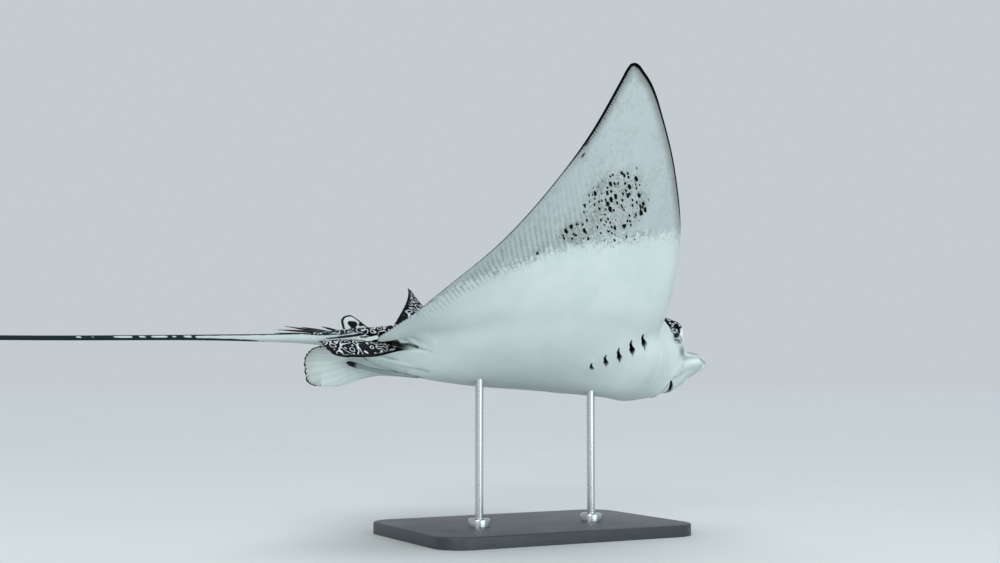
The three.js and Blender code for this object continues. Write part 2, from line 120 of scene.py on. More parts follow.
WING_LIFT = ((0, 0), (3, 0), (15, 34), (30, 44), (50, 54.5))   # out, degrees above level
HINGE_UP = 2.6
TWIST, TWIST_EASE, TWIST_FROM, TWIST_AXIS_BACK = 14.9, 6.6, 5, 30
LEFT_TIP_CURL, LEFT_TIP_FORWARD, LEFT_TIP_DROP, LEFT_TIP_FROM = 53, 3.8, 1.9, 29
CAMBER, CORNER_HANG, CORNER_BACK, CORNER_OUT, TIP_FORWARD = 0.03, 2, 62.3, 7, 1.6
BANK, NOSE_DOWN, MIDDLE_BACK, BELLY_HEIGHT = 20, 1.5, 32, 0.4
TAIL_SWEEP_FROM, TAIL_END, TAIL_SWEEP_OUT = 120, 265, 16
TAIL_LINE = ((50, 0), (57, 0.3), (65, 0.9), (80, 0.5), (110, -0.8), (160, -2.2), (270, 1))
SPAN_STEP = 0.25


# ---- curves ----

def through(knots):
    """A smooth curve through the knots that never overshoots them."""
    x, y = np.array(knots, float).T
    slope = np.diff(y) / np.diff(x)
    tangent = np.concatenate((slope[:1], np.zeros(len(x) - 2), slope[-1:]))
    for i in range(1, len(x) - 1):
        if slope[i - 1] * slope[i] > 0:
            before, after = x[i] - x[i - 1], x[i + 1] - x[i]
            a, b = 2 * after + before, after + 2 * before
            tangent[i] = (a + b) / (a / slope[i - 1] + b / slope[i])

    def at(where):
        q = np.clip(where, x[0], x[-1])
        i = np.clip(np.searchsorted(x, q, side="right") - 1, 0, len(x) - 2)
        h = x[i + 1] - x[i]
        t = (q - x[i]) / h
        return ((1 + 2 * t) * (1 - t) ** 2 * y[i] + t * (1 - t) ** 2 * h * tangent[i]
                + t * t * (3 - 2 * t) * y[i + 1] + t * t * (t - 1) * h * tangent[i + 1])
    return at


def smooth(value, low, high):
    t = np.clip((value - low) / (high - low), 0, 1)
    return t * t * (3 - 2 * t)


def mix(a, b, share):
    return a + (b - a) * share


def bell(value, width):
    """1 in the middle, falling softly away on both sides."""
    return np.exp(-(value / width) ** 2)


leading_edge, trailing_edge = through(LEADING_EDGE), through(TRAILING_EDGE)
top_line, bottom_line = through(TOP), through(BOTTOM)
back_width, chest_width, side_height = through(BACK_WIDTH), through(CHEST_WIDTH), through(SIDE_HEIGHT)
wing_lift, tail_line = through(WING_LIFT), through(TAIL_LINE)
under_squareness = through(UNDER_SQUARENESS)

bent_at = np.arange(0, WING_TIP_OUT + 2 * SPAN_STEP, SPAN_STEP)
bent_lift = np.radians(wing_lift(bent_at[1:] - SPAN_STEP / 2))
bent_out = np.concatenate(((0,), np.cumsum(np.cos(bent_lift) * SPAN_STEP)))
bent_up = np.concatenate(((0,), np.cumsum(np.sin(bent_lift) * SPAN_STEP)))


def turning(degrees, axis):
    return np.array(Matrix.Rotation(math.radians(degrees), 3, axis))


BANKED = turning(NOSE_DOWN, "Y") @ turning(-BANK, "X")


def posed(back, out, up):
    """From the flat animal to the posed one, in metres."""
    back, out, up = (np.asarray(v, float) for v in (back, out, up))
    side, span = np.where(out < 0, -1, 1), np.abs(out)
    lift = np.radians(wing_lift(span))
    share = np.clip((span - TWIST_FROM) / (WING_TIP_OUT - TWIST_FROM), 0, 1)
    left_tip = np.where(out > 0, smooth(span, LEFT_TIP_FROM, WING_TIP_OUT), 0)
    twist = np.radians(TWIST * share - TWIST_EASE * share ** 2 - LEFT_TIP_CURL * left_tip)
    axis = mix(TWIST_AXIS_BACK, LEADING_EDGE[-1][1], share)
    ahead, behind = axis - back, np.maximum(0, back - axis)
    hang = CORNER_HANG * smooth(back, CORNER_BACK - 10, CORNER_BACK) * smooth(span, 3, CORNER_OUT)
    low = up - HINGE_UP - hang - LEFT_TIP_DROP * left_tip
    above = ahead * np.sin(twist) + low * np.cos(twist) - CAMBER * (behind * share) ** 2
    forward = (ahead * np.cos(twist) - low * np.sin(twist) - axis
               + TIP_FORWARD * share ** 2 + LEFT_TIP_FORWARD * left_tip)
    sweep = np.maximum(0, (back - TAIL_SWEEP_FROM) / (TAIL_END - TAIL_SWEEP_FROM)) ** 2
    y = side * (np.interp(span, bent_at, bent_out) - np.sin(lift) * above) + TAIL_SWEEP_OUT * sweep
    z = (np.interp(span, bent_at, bent_up) + np.cos(lift) * above + HINGE_UP
         + tail_line(back) * (1 - smooth(span, 3, 6)))
    level = np.stack((forward + MIDDLE_BACK, y, z), -1) * PERCENT
    return level @ BANKED.T + (0, 0, BELLY_HEIGHT)


# ---- the flat surface ----

def wing_thickness(chord, out, side):
    most = np.where(side > 0, WING_ABOVE, WING_BELOW)
    here = most * (1 - np.minimum(out, WING_TIP_OUT) / WING_TIP_OUT) ** WING_THINNING + WING_LEAST
    return here * (SECTION_FRONT * np.sqrt(chord) * (1 - chord) ** 1.5 + SECTION_REAR * chord)


def body_share(back, out, side):
    """How far out of the body's section a place is, and how high the section stands there."""
    middle = side_height(back)
    height = np.where(side > 0, top_line(back) - middle, middle - bottom_line(back))
    in_trunk = (back > NECK) & (back < VENT)
    width = np.where((side < 0) & in_trunk, chest_width(back), back_width(back))
    q = np.clip(np.abs(out) / width, 0, 1)
    trunkness = smooth(back, NECK - 1.3, NECK + 6.7) * (1 - smooth(back, VENT - 7, VENT))
    squareness = np.where(side > 0, HEAD_SQUARENESS, under_squareness(back))
    power = mix(squareness, TRUNK_SQUARENESS, trunkness)
    fall = mix(1 / power, TRUNK_FALL, trunkness)
    return height * (1 - q ** power) ** fall


def thickness(back, out, chord, side):
    return np.maximum(np.hypot(body_share(back, out, side), wing_thickness(chord, np.abs(out), side)), EDGE)


def chord_share(back):
    return np.clip((back - NECK) / (VENT - NECK), 0, 1)


def surface(back, out, chord, side, closed):
    """Points of the flat surface, back, out and up. Where it is closed, top and bottom meet."""
    up = side * np.where(closed, 0, thickness(back, out, chord, side)) + side_height(back)
    return np.stack(np.broadcast_arrays(back, out, up), -1)


def steps(*stretches):
    return np.concatenate([np.linspace(a, b, n, endpoint=False) for a, b, n in stretches])


class Shell:
    """Points and faces of a closed surface, gathered grid by grid."""

    def __init__(self):
        self.points, self.faces = [], []

    def add(self, points):
        """Adds points and returns their numbers, in the same rows and columns."""
        points = np.asarray(points, float)
        start = len(self.points)
        self.points.extend(points.reshape(-1, 3))
        return np.arange(start, len(self.points)).reshape(points.shape[:-1])

    def quads(self, ids, turned=False):
        for row, after in zip(ids[:-1], ids[1:]):
            for a, b, c, d in zip(row[:-1], row[1:], after[1:], after[:-1]):
                corners = [a, d, c, b] if turned else [a, b, c, d]
                corners = [v for i, v in enumerate(corners) if v not in corners[:i]]
                if len(corners) > 2:
                    self.faces.append(corners)

    def piece(self, name):
        """Makes the piece in metres, heading along +X, with its faces pointing outwards."""
        used = sorted({v for face in self.faces for v in face})
        number = {v: i for i, v in enumerate(used)}
        points = to_flat_metres(np.array(self.points)[used])
        faces = [[number[v] for v in face] for face in self.faces]
        mesh = bpy.data.meshes.new(name)
        mesh.from_pydata([tuple(p) for p in points], [], faces)
        mesh.validate()
        piece = bpy.data.objects.new(name, mesh)
        bpy.context.scene.collection.objects.link(piece)
        face_outwards(piece)
        return piece


def to_flat_metres(points):
    """The flat animal in metres, heading along +X."""
    return np.asarray(points) * (-PERCENT, PERCENT, PERCENT)


COLUMNS = 56                    # across the body, on top and again below
HEAD_BACKS = steps((-1.6, -1.0, 6), (-1.0, 4.0, 17), (4.0, 5.9, 19), (5.9, NECK, 26))
TRUNK_STATIONS = np.linspace(0, 1, 111)
TRUNK_SHARES = mix(TRUNK_STATIONS, 0.5 - 0.5 * np.cos(np.pi * TRUNK_STATIONS), 0.82)
TAIL_BACKS = steps((VENT + 0.3, 62, 14), (62, TAIL_THINS_AT, 30))
WHIP_BACKS = steps((TAIL_THINS_AT + 0.4, 104, 110), (104, 130, 16), (130, TAIL_TIP - 0.3, 48))
WHIP_COLUMNS = COLUMNS // 4


def section(shell, back, limit, columns, closed):
    """One section of the body: the numbers of its top and its bottom points."""
    across = np.linspace(-1, 1, columns + 1)
    out = limit * np.sign(across) * np.sin(np.abs(across) * np.pi / 2) ** 0.77
    shut = closed & (np.abs(across) > 0.999)
    top = shell.add(surface(back, out, chord_share(back), 1, shut))
    bottom = shell.add(surface(back, out, chord_share(back), -1, shut))
    if closed:
        bottom[[0, -1]] = top[[0, -1]]
    return top, bottom


def body_and_wings():
    shell = Shell()
    root_out = mix(WING_ROOT_FRONT[0], WING_ROOT_REAR[0], TRUNK_SHARES)
    trunk_backs = mix(NECK, VENT, TRUNK_SHARES)
    tip = shell.add([SNOUT_TIP, 0, side_height(SNOUT_TIP)])
    nose = np.full(COLUMNS + 1, tip)
    rows = [(nose, nose)]
    rows += [section(shell, b, back_width(b), COLUMNS, True) for b in HEAD_BACKS]
    first = len(rows)
    for i, b in enumerate(trunk_backs):
        rows.append(section(shell, b, root_out[i], COLUMNS, i in (0, len(trunk_backs) - 1)))
    last = len(rows)
    rows += [section(shell, b, back_width(b), COLUMNS, True) for b in TAIL_BACKS]
    top, bottom = (np.array(side) for side in zip(*rows))
    shell.quads(top, turned=True)
    shell.quads(bottom)

    # The whip: a quarter of the sides, joined on by one ring of wider faces.
    whip = [section(shell, b, back_width(b), WHIP_COLUMNS, True) for b in WHIP_BACKS]
    end = shell.add([TAIL_TIP, 0, 0])
    point = np.full(WHIP_COLUMNS + 1, end)
    whip.append((point, point))
    for layer, fine, turned in ((0, top[-1], True), (1, bottom[-1], False)):
        coarse = np.array([row[layer] for row in whip])
        shell.quads(coarse, turned)
        for k in range(WHIP_COLUMNS):
            ring = [*fine[4 * k:4 * k + 5], coarse[0][k + 1], coarse[0][k]]
            shell.faces.append(ring[::-1] if turned else ring)

    # The wings grow from the ends of the trunk's sections.
    stations = np.linspace(0, 1, 77)[1:]
    spans = mix(stations, 1 - (1 - stations) ** 1.3, 0.6)
    spans = np.concatenate((spans[:-1], (0.997, 0.999, 0.9998, 1)))
    chord = TRUNK_SHARES[:, None]
    front, rear = (mix(start[0], WING_TIP_OUT, spans)[None] for start in (WING_ROOT_FRONT, WING_ROOT_REAR))
    out = mix(front, rear, chord)
    back = mix(leading_edge(front), trailing_edge(rear), chord)
    shut = (chord <= 0) | (chord >= 1) | (out >= WING_TIP_OUT - 1e-6)
    for side, column in ((1, -1), (-1, 0)):
        upper = shell.add(surface(back, out, chord, 1, shut) * (1, side, 1))
        lower = shell.add(surface(back, out, chord, -1, shut) * (1, side, 1))
        upper[:, -1] = upper[0, -1]
        lower[[0, -1]], lower[:, -1] = upper[[0, -1]], upper[0, -1]
        root_top = top[first:last, column][:, None]
        root_bottom = bottom[first:last, column][:, None]
        shell.quads(np.hstack((root_top, upper)), turned=side > 0)
        shell.quads(np.hstack((root_bottom, lower)), turned=side < 0)
    return shell.piece("ray_skin")


def sheet_of(name, at, rows, columns):
    """A closed thin fin. at(u, v, side) gives its points; the two sides meet at front, rear and tip."""
    shell = Shell()
    u, v = np.linspace(0, 1, rows + 1)[:, None], np.linspace(0, 1, columns + 1)[None]
    upper, lower = shell.add(at(u, v, 1)), shell.add(at(u, v, -1))
    lower[:, 0], lower[:, -1], lower[-1] = upper[:, 0], upper[:, -1], upper[-1]
    shell.quads(upper)
    shell.quads(lower, turned=True)
    shell.faces.append([*upper[0][::-1], *lower[0][1:-1]])
    return shell.piece(name)


def fin_section(front_knots, rear_knots, half_thickness, u, v, ripple=0.0):
    front, rear, reach = through(front_knots), through(rear_knots), front_knots[-1][0]
    span = reach * np.sin(u * np.pi / 2) * 0.985
    chord = 0.5 - 0.5 * np.cos(np.pi * v)
    back = mix(front(span), rear(span), chord)
    back = back + ripple * np.sin(span * 9) * smooth(chord, 0.8, 1)
    rim = np.minimum(1, 6 * np.minimum(v, 1 - v)) * np.minimum(1, 6 * (1 - u))
    half = (EDGE + half_thickness * (1 - 0.8 * u) * np.sin(chord * np.pi)) * np.sqrt(rim)
    return np.broadcast_arrays(back, span, half)


def pelvic_fin(side):
    droop = math.radians(PELVIC_DROOP)

    def at(u, v, face):
        back, span, half = fin_section(PELVIC_FRONT, PELVIC_REAR, PELVIC_THICKNESS, u, v, 0.1)
        across = face * half
        out = PELVIC_OUT + span * math.cos(droop) + across * math.sin(droop)
        up = PELVIC_UP - span * math.sin(droop) + across * math.cos(droop)
        return np.stack((back, side * out, up), -1)
    return sheet_of("pelvic_fin", at, 26, 44)


def dorsal_fin():
    def at(u, v, face):
        back, span, half = fin_section(DORSAL_FRONT, DORSAL_REAR, DORSAL_THICKNESS, u, v)
        return np.stack((back, face * half, DORSAL_UP + span), -1)
    return sheet_of("dorsal_fin", at, 24, 34)


def clasper(side):
    raised = RIGHT_CLASPER_UP if side < 0 else 0
    base, tip = (np.array((b, side * o, u + raised)) for b, o, u in (CLASPER_BASE, CLASPER_TIP))
    profile = through(((0, 0.8), (0.5, 0.8), (0.74, 0.72), (0.86, 1.02), (0.95, 0.85), (1, 0)))
    shell = Shell()
    along = np.concatenate((np.linspace(0, 0.9, 40), 1 - 0.1 * np.linspace(1, 0, 12)[1:] ** 2))
    turn = np.linspace(0, 2 * np.pi, 25)[:-1]
    groove = 1 - 0.16 * np.exp(-((turn - 4.2) / 0.35) ** 2)[None] * smooth(along, 0.2, 0.4)[:, None]
    radius = CLASPER_RADIUS * profile(along)[:, None] * groove
    line = base + (tip - base) * along[:, None]
    line[:, 2] -= 0.25 * np.sin(np.pi * along)
    points = np.repeat(line[:, None], len(turn), 1)
    points[..., 1] += radius * np.cos(turn)
    points[..., 2] += radius * np.sin(turn)
    ids = shell.add(points)
    ids[-1] = ids[-1][0]
    shell.quads(np.hstack((ids, ids[:, :1])))
    shell.faces.append(list(ids[0]))
    return shell.piece("clasper")


# ---- working on a piece by hand ----

def only(piece):
    """Selects this piece and nothing else."""
    if bpy.context.mode != "OBJECT":
        bpy.ops.object.mode_set(mode="OBJECT")
    bpy.ops.object.select_all(action="DESELECT")
    piece.select_set(True)
    bpy.context.view_layer.objects.active = piece
    return piece


def edit_all(piece):
    only(piece)
    bpy.ops.object.mode_set(mode="EDIT")
    bpy.ops.mesh.select_all(action="SELECT")


def face_outwards(piece):
    edit_all(piece)
    bpy.ops.mesh.normals_make_consistent(inside=False)
    bpy.ops.object.mode_set(mode="OBJECT")


def apply(piece, kind, **settings):
    only(piece)
    modifier = piece.modifiers.new(kind.lower(), kind)
    for key, value in settings.items():
        setattr(modifier, key, value)
    bpy.ops.object.modifier_apply(modifier=modifier.name)


def choose(piece, kind, test):
    """Edit mode with only the faces, edges or points that pass the test chosen."""
    edit_all(piece)
    bpy.ops.mesh.select_all(action="DESELECT")
    bpy.ops.mesh.select_mode(type=kind)
    mesh = bmesh.from_edit_mesh(piece.data)
    for item in {"FACE": mesh.faces, "EDGE": mesh.edges, "VERT": mesh.verts}[kind]:
        if test(item):
            item.select_set(True)
    bmesh.update_edit_mesh(piece.data)


def choose_listed(piece, kind, listed):
    """The same from a list with a yes or no for each of the piece's points or faces."""
    edit_all(piece)
    bpy.ops.mesh.select_all(action="DESELECT")
    bpy.ops.mesh.select_mode(type=kind)
    bpy.ops.object.mode_set(mode="OBJECT")
    items = {"FACE": piece.data.polygons, "VERT": piece.data.vertices}[kind]
    items.foreach_set("select", listed)
    bpy.ops.object.mode_set(mode="EDIT")


def read(items, key, kind=int, each=1):
    """One value, or a few, from each of a mesh's points, corners or faces."""
    values = np.empty(len(items) * each, kind)
    items.foreach_get(key, values)
    return values


def keep(piece, name, values, kind="FLOAT"):
    """Stores a value, or three, with each point of a piece, for its paint to read."""
    layer = piece.data.attributes.new(name, kind, "POINT")
    layer.data.foreach_set("value" if kind == "FLOAT" else "vector", np.asarray(values, np.float32).ravel())


def places(piece):
    """Back, out and up of every point of the flat animal."""
    flat = read(piece.data.vertices, "co", float, 3)
    return flat.reshape(-1, 3) / (-PERCENT, PERCENT, PERCENT)


def move_points(piece, points):
    piece.data.vertices.foreach_set("co", points.ravel())
    piece.data.update()


def refine(piece, where, finest):
    """Cuts the faces in a place into four, where that leaves them no smaller than the finest."""
    inside = where(*places(piece).T)
    mesh = piece.data
    corners = inside[read(mesh.loops, "vertex_index")].astype(int)
    picked = np.maximum.reduceat(corners, read(mesh.polygons, "loop_start")).astype(bool)
    picked &= read(mesh.polygons, "area", float) > (1.6 * finest * PERCENT) ** 2
    choose_listed(piece, "FACE", picked)
    bpy.ops.mesh.subdivide(number_cuts=1)
    bpy.ops.object.mode_set(mode="OBJECT")


def ease(piece, where, times):
    """Works part of a surface smooth, as with a rubbing strip."""
    choose_listed(piece, "VERT", where(*places(piece).T))
    bpy.ops.mesh.vertices_smooth(factor=0.5, repeat=times)
    bpy.ops.object.mode_set(mode="OBJECT")


def drop_idle_points(piece):
    """Dissolves the points that the joining leaves in the middle of a straight edge."""
    choose(piece, "VERT", lambda v: len(v.link_edges) == 2)
    bpy.ops.mesh.dissolve_verts()
    bpy.ops.object.mode_set(mode="OBJECT")


# ---- openings and folds ----

FREE = 9                        # a distance that is far from every edge
# Gill slits: middle back, middle out, half length, half width. The inner end is the wide one.
GILLS = ((16.9, 8.6, 1.3, 0.4), (18.85, 7.9, 1.34, 0.42), (20.95, 7.2, 1.26, 0.4),
         (23.05, 6.5, 1.1, 0.37), (25, 5.5, 0.8, 0.33))
GILL_SLANT = 56                 # degrees from the body's line
GILL_DEPTH = 0.8
MOUTH_OUT = 3.3                 # from the midline to the corner
MOUTH_FRONT = ((0, 6.8), (1.5, 7.3), (2.7, 7.95), (3.3, 8.4))        # out, back
MOUTH_REAR = ((0, 8.85), (1.5, 8.85), (2.7, 8.72), (3.3, 8.55))
SPIRACLE = (11.5, 6.95, 3.5)
EYE_OPENING = (0.66, 0.54)      # half its length, half its height
LID = 0.05
MOUTH_SLIT, MOUTH_GROOVE = 0.36, 0.23       # half widths
MOUTH_DEPTH, GROOVE_DEPTH, JAW_DEPTH = 0.8, 0.45, 0.22
VENT_OPENING = (53.4, 0.9, 0.14)            # back, half length, half width
VENT_DEPTH = 0.4
# Under the snout's rim, beside the wing's rear root, and where each clasper leaves the body. Back, out.
FOLD = ((7.9, 3.2), (6.7, 3.05), (5.4, 2.85), (4.36, 3.2), (3.6, 3.3), (2.6, 3.1))
CREASE = ((50.9, 4.58), (52.6, 4.8), (54.2, 4.83), (55.7, 4.72), (57.4, 3.9))
CLASPER_ROOT = ((55.5, 1.75), (51.3, 1.35))
FOLD_DEPTH, CREASE_DEPTH = 0.24, 0.14


def along_line(across, beside, line):
    """How far a place is from a line of points, and how far along it the nearest point is."""
    place = np.stack((across, beside), -1)
    points = np.array(line, float)
    best, share, done = np.full(len(place), 1e9), np.zeros(len(place)), 0.0
    total = np.hypot(*np.diff(points, axis=0).T).sum()
    for a, b in zip(points[:-1], points[1:]):
        run = np.hypot(*(b - a))
        t = np.clip(((place - a) @ (b - a)) / run ** 2, 0, 1)
        far = np.hypot(*(place - a - t[:, None] * (b - a)).T)
        closer = far < best
        best = np.where(closer, far, best)
        share = np.where(closer, (done + t * run) / total, share)
        done += run
    return best, share


def gill_gap(back, out):
    """Distance to the edge of the nearest gill slit, less than nothing inside it."""
    cosine, sine = math.cos(math.radians(GILL_SLANT)), math.sin(math.radians(GILL_SLANT))
    nearest = np.full(back.shape, 1e9)
    for at_back, at_out, half_length, half_width in GILLS:
        b, o = back - at_back, np.abs(out) - at_out
        along, across = o / sine, o * cosine - b * sine
        share = np.clip(along / half_length, -1, 1)
        across = across + 0.15 * half_length * bell(share - 0.4, 0.35)
        belly = 0.5 + 0.65 * bell(share + 0.32, 0.36)
        width = half_width * (1 - np.abs(share) ** np.where(share < 0, 2.4, 4)) * belly
        beyond = np.maximum(0, np.abs(along) - half_length)
        gap = np.where(beyond > 0, np.hypot(across, beyond), np.abs(across) - width)
        nearest = np.minimum(nearest, gap)
    return nearest


def mouth_gaps(back, out):
    """Distances to the edge of the mouth's slit and of the groove behind it."""
    o = np.abs(out)
    thinning = 1 - np.clip(o / MOUTH_OUT, 0, 1) ** 4
    slit = np.abs(back - through(MOUTH_FRONT)(o)) - MOUTH_SLIT * thinning
    groove = np.abs(back - through(MOUTH_REAR)(o)) - MOUTH_GROOVE * thinning
    beyond = np.maximum(0, o - MOUTH_OUT)
    return slit + 2 * beyond, groove + 2 * beyond


def eye_place(flat):
    """Where a point lies from the eye's middle, along the body and up, and how far out."""
    return flat[:, 0] - EYE_BACK, flat[:, 2] - EYE_UP, np.abs(flat[:, 1]) - EYE_OUT


def spiracle_share(flat):
    """1 at the rim of the opening behind the eye, less inside."""
    back = flat[:, 0] - SPIRACLE[0]
    across = 0.9 * (flat[:, 2] - SPIRACLE[2]) - 0.44 * (np.abs(flat[:, 1]) - SPIRACLE[1])
    away = 0.9 * (np.abs(flat[:, 1]) - SPIRACLE[1]) + 0.44 * (flat[:, 2] - SPIRACLE[2])
    inwards = np.maximum(0, -away - 0.8)
    return np.sqrt((back / 1.2) ** 2 + ((across + 0.12 * back) / 0.55) ** 2 + inwards ** 2)


def is_below(back, up):
    return up < side_height(back) - 0.4


def carve(skin):
    """Opens the gills, the mouth, the spiracles and the vent, and presses the folds in."""
    flat = places(skin)
    back, out, up = flat.T.copy()
    o, below = np.abs(out), is_below(back, up)

    gap = np.where(below & (back > 13) & (back < 28), gill_gap(back, out), FREE)
    lip = 0.04 * bell(gap - 0.12, 0.14) + 0.07 * bell(gap - 0.4, 0.6)
    flat[:, 2] += GILL_DEPTH * smooth(-gap, -0.03, 0.16) - lip * (gap > -0.05)

    at_mouth = below & (back > 4.5) & (back < 12.5)
    slit, groove = (np.where(at_mouth, gap, FREE) for gap in mouth_gaps(back, out))
    front, rear = through(MOUTH_FRONT)(o), through(MOUTH_REAR)(o)
    inside = at_mouth & (o < MOUTH_OUT) & (back > front) & (back < rear)
    flat[:, 2] += MOUTH_DEPTH * smooth(-slit, -0.05, 0.12) + GROOVE_DEPTH * smooth(-groove, -0.07, 0.08)
    flat[:, 2] += np.where(inside, JAW_DEPTH * (1 - (o / MOUTH_OUT) ** 2), 0)
    flat[:, 2] -= 0.16 * bell(groove - 0.3, 0.25) * (back > rear)
    flat[:, 2] -= 0.1 * bell(slit - 0.25, 0.2) * (back < front)

    far, share = along_line(back, o, FOLD)
    under_snout = is_below(back, up) & (back < 11)
    flat[:, 2] += np.where(under_snout, FOLD_DEPTH * bell(far, 0.22) * (1 - share ** 2), 0)

    far, share = along_line(back, o, CREASE)
    pressed = CREASE_DEPTH * bell(far, 0.16) * smooth(share, 0, 0.4)
    flat[:, 2] += np.where(below & (back > 49) & (back < 58), pressed, 0)

    vent = np.hypot((back - VENT_OPENING[0]) / VENT_OPENING[1], out / VENT_OPENING[2])
    flat[:, 2] += np.where(below, VENT_DEPTH * smooth(1.2 - vent, 0, 0.5) - 0.12 * bell(vent - 2.2, 1.2), 0)

    # Each eye: inside the opening the skin passes behind the ball, round it the lids stand proud.
    along, height, beyond = eye_place(flat)
    from_middle = np.hypot(along, height)
    opening = np.hypot(along / EYE_OPENING[0], height / EYE_OPENING[1])
    ball = np.sqrt(np.maximum(0, EYE_RADIUS ** 2 - along ** 2 - height ** 2))
    lid = ball + LID + 0.05 * bell(opening - 1.25, 0.25)
    over = np.maximum(beyond, lid) + 0.06 * bell(beyond - lid, 0.15)
    round_it = np.where(from_middle < EYE_RADIUS + 0.1, over, beyond)
    wanted = mix(ball - 0.2, round_it, smooth(opening, 0.94, 1.08))
    fade = 1 - smooth(from_middle, 1.2, 1.9)
    side = np.where(out < 0, -1, 1)
    near = (from_middle < 2) & (beyond > -0.9)
    flat[:, 1] = np.where(near, side * (EYE_OUT + mix(beyond, wanted, fade)), flat[:, 1])

    share = np.where((back > 9) & (back < 14) & (up > 1), spiracle_share(places(skin)), FREE)
    into = 0.9 * smooth(1.08 - share, 0, 0.3) - 0.12 * bell(share - 1.25, 0.22)
    flat[:, 1] -= side * 0.85 * into
    flat[:, 2] -= 0.5 * into
    move_points(skin, to_flat_metres(flat))


def refine_openings(skin):
    for reach, finest in ((0.6, 0.15), (0.3, 0.1), (0.14, 0.07)):
        refine(skin, lambda back, out, up: is_below(back, up) & (back > 13) & (back < 28)
               & (gill_gap(back, out) < reach), finest)
        refine(skin, lambda back, out, up: is_below(back, up) & (back > 5) & (back < 11)
               & (np.minimum(*mouth_gaps(back, out)) < reach), finest)
        refine(skin, lambda back, out, up: (np.hypot(back - EYE_BACK, up - EYE_UP) < 1 + reach)
               & (np.abs(out) > EYE_OUT - 0.6) & (back < 11), finest)
        refine(skin, lambda back, out, up: (back > 9.5) & (back < 13.3) & (up > 1.6)
               & (spiracle_share(np.stack((back, out, up), -1)) < 1.2 + reach), 0.1)
    refine(skin, lambda back, out, up: (np.hypot((back - 53.4) / 2.2, out / 1.8) < 1) & is_below(back, up),
           0.15)
    for reach in (0.9, 0.3, 0):
        refine(skin, lambda back, out, up: (back > 53.6 - reach) & (back < 59 + reach) & (up > -2.5 - reach)
               & (up < reach - 0.2) & (np.abs(out) > 3.1 - reach) & (np.abs(out) < 5.2 + reach), 0.15)
    refine(skin, lambda back, out, up: is_below(back, up) & (back > 50) & (back < 58)
           & (along_line(back, np.abs(out), CREASE)[0] < 0.5), 0.12)


BODY, PELVIC, DORSAL, CLASPER = range(4)


def mark(piece, part):
    """Remembers on every face which part of the animal it is."""
    layer = piece.data.attributes.new("part", "INT", "FACE")
    layer.data.foreach_set("value", np.full(len(piece.data.polygons), part))


def part_of_points(piece):
    """The lowest and the highest part number of the faces round each point."""
    mesh = piece.data
    parts = np.repeat(read(mesh.attributes["part"].data, "value"), read(mesh.polygons, "loop_total"))
    corners = read(mesh.loops, "vertex_index")
    low, high = np.full(len(mesh.vertices), CLASPER), np.full(len(mesh.vertices), BODY)
    np.minimum.at(low, corners, parts)
    np.maximum.at(high, corners, parts)
    return low, high


def grow_fin(skin, fin, part):
    """Joins a fin to the body in one surface and works the joint smooth."""
    mark(fin, part)
    apply(skin, "BOOLEAN", operation="UNION", solver="EXACT", object=fin)
    bpy.data.objects.remove(fin)
    low, high = part_of_points(skin)
    choose_listed(skin, "VERT", (low < part) & (high == part))
    bpy.ops.mesh.remove_doubles(threshold=0.3 * MM)
    bpy.ops.mesh.vertices_smooth(factor=0.5, repeat=2)
    bpy.ops.mesh.select_more()
    bpy.ops.mesh.vertices_smooth(factor=0.5, repeat=3)
    bpy.ops.mesh.select_more()
    bpy.ops.mesh.vertices_smooth(factor=0.5, repeat=2)
    bpy.ops.object.mode_set(mode="OBJECT")


# ---- where each colour lies ----

# Out to this line the underside is white, beyond it grey. Back, out.
WHITE_ENDS = through(((0, 26), (23.5, 25.5), (30, 24.3), (37.4, 23.3), (47.5, 19), (55.1, 15.5),
                      (57.3, 14), (61, 12.5)))
# The fin rays slant backwards as they run out: how far back for each step outwards.
RAY_SLANT = ((0, 1.3), (10, 1.3), (15.5, 1.15), (20.5, 0.85), (23, 0.6), (27, 0.54), (50, 0.48))
# Above this line the head is black. Back, up. The eye lies on the line, in a black pointed loop.
HEAD_BLACK = through(((4.6, 4.6), (5.8, 3.2), (6.7, 2.45), (7.3, 2), (9, 1.95), (9.5, 2.6), (9.9, 3.6),
                      (13.3, 5)))
UNDER_EYE = ((9.05, 1.95), (8.9, 1.3), (8.45, 0.65), (7.8, 1.1), (7.3, 1.9))
# Lines on the side of the head, back and up: a white streak before the eye; the dusky top of the
# snout's lobe running into the hollow behind it, with painted shade laid along it; and painted
# highlights along the cheek and the lobe's rim.
BROW = ((7, 1.3), (6.55, 1.85), (6.25, 2.3))
LOBE_TOP = ((7.4, -1), (6.7, -1.6), (5.5, -1.7), (4.2, -1.42), (2.5, -1.3), (1, -1.45), (0.2, -1.6))
CHEEK_HIGHLIGHT = ((8.6, -4.4), (7.7, -3.5), (6.8, -2.7), (5.2, -2.1), (3.8, -1.95), (2.6, -1.65))
LOBE_RIM_HIGHLIGHT = ((-0.2, -1.3), (0.1, -1.64), (0.7, -2.4), (1.13, -2.95), (1.64, -3.3), (2.5, -3.8), (4, -4.5))
# Along the side of the tail's root the back's black ends here, and a black wedge lies below it.
TAIL_BLACK = through(((57, 0), (59.3, 0.1), (60, 0.03), (60.6, -0.1), (61, 0.02), (61.3, 0.28),
                      (62.1, 0.34), (62.6, 0.48), (63.5, 0.34), (65, 0.18), (66.5, 0.14), (68, 0.12),
                      (71, 0.1), (76, 0.26)))
TAIL_WEDGE = ((61.6, 0.34), (62.4, 0.15), (63.3, -0.02), (64.3, -0.17), (65.8, -0.28), (67.4, -0.34))
TAIL_DASH = ((61.1, -0.15), (62.2, -0.24))
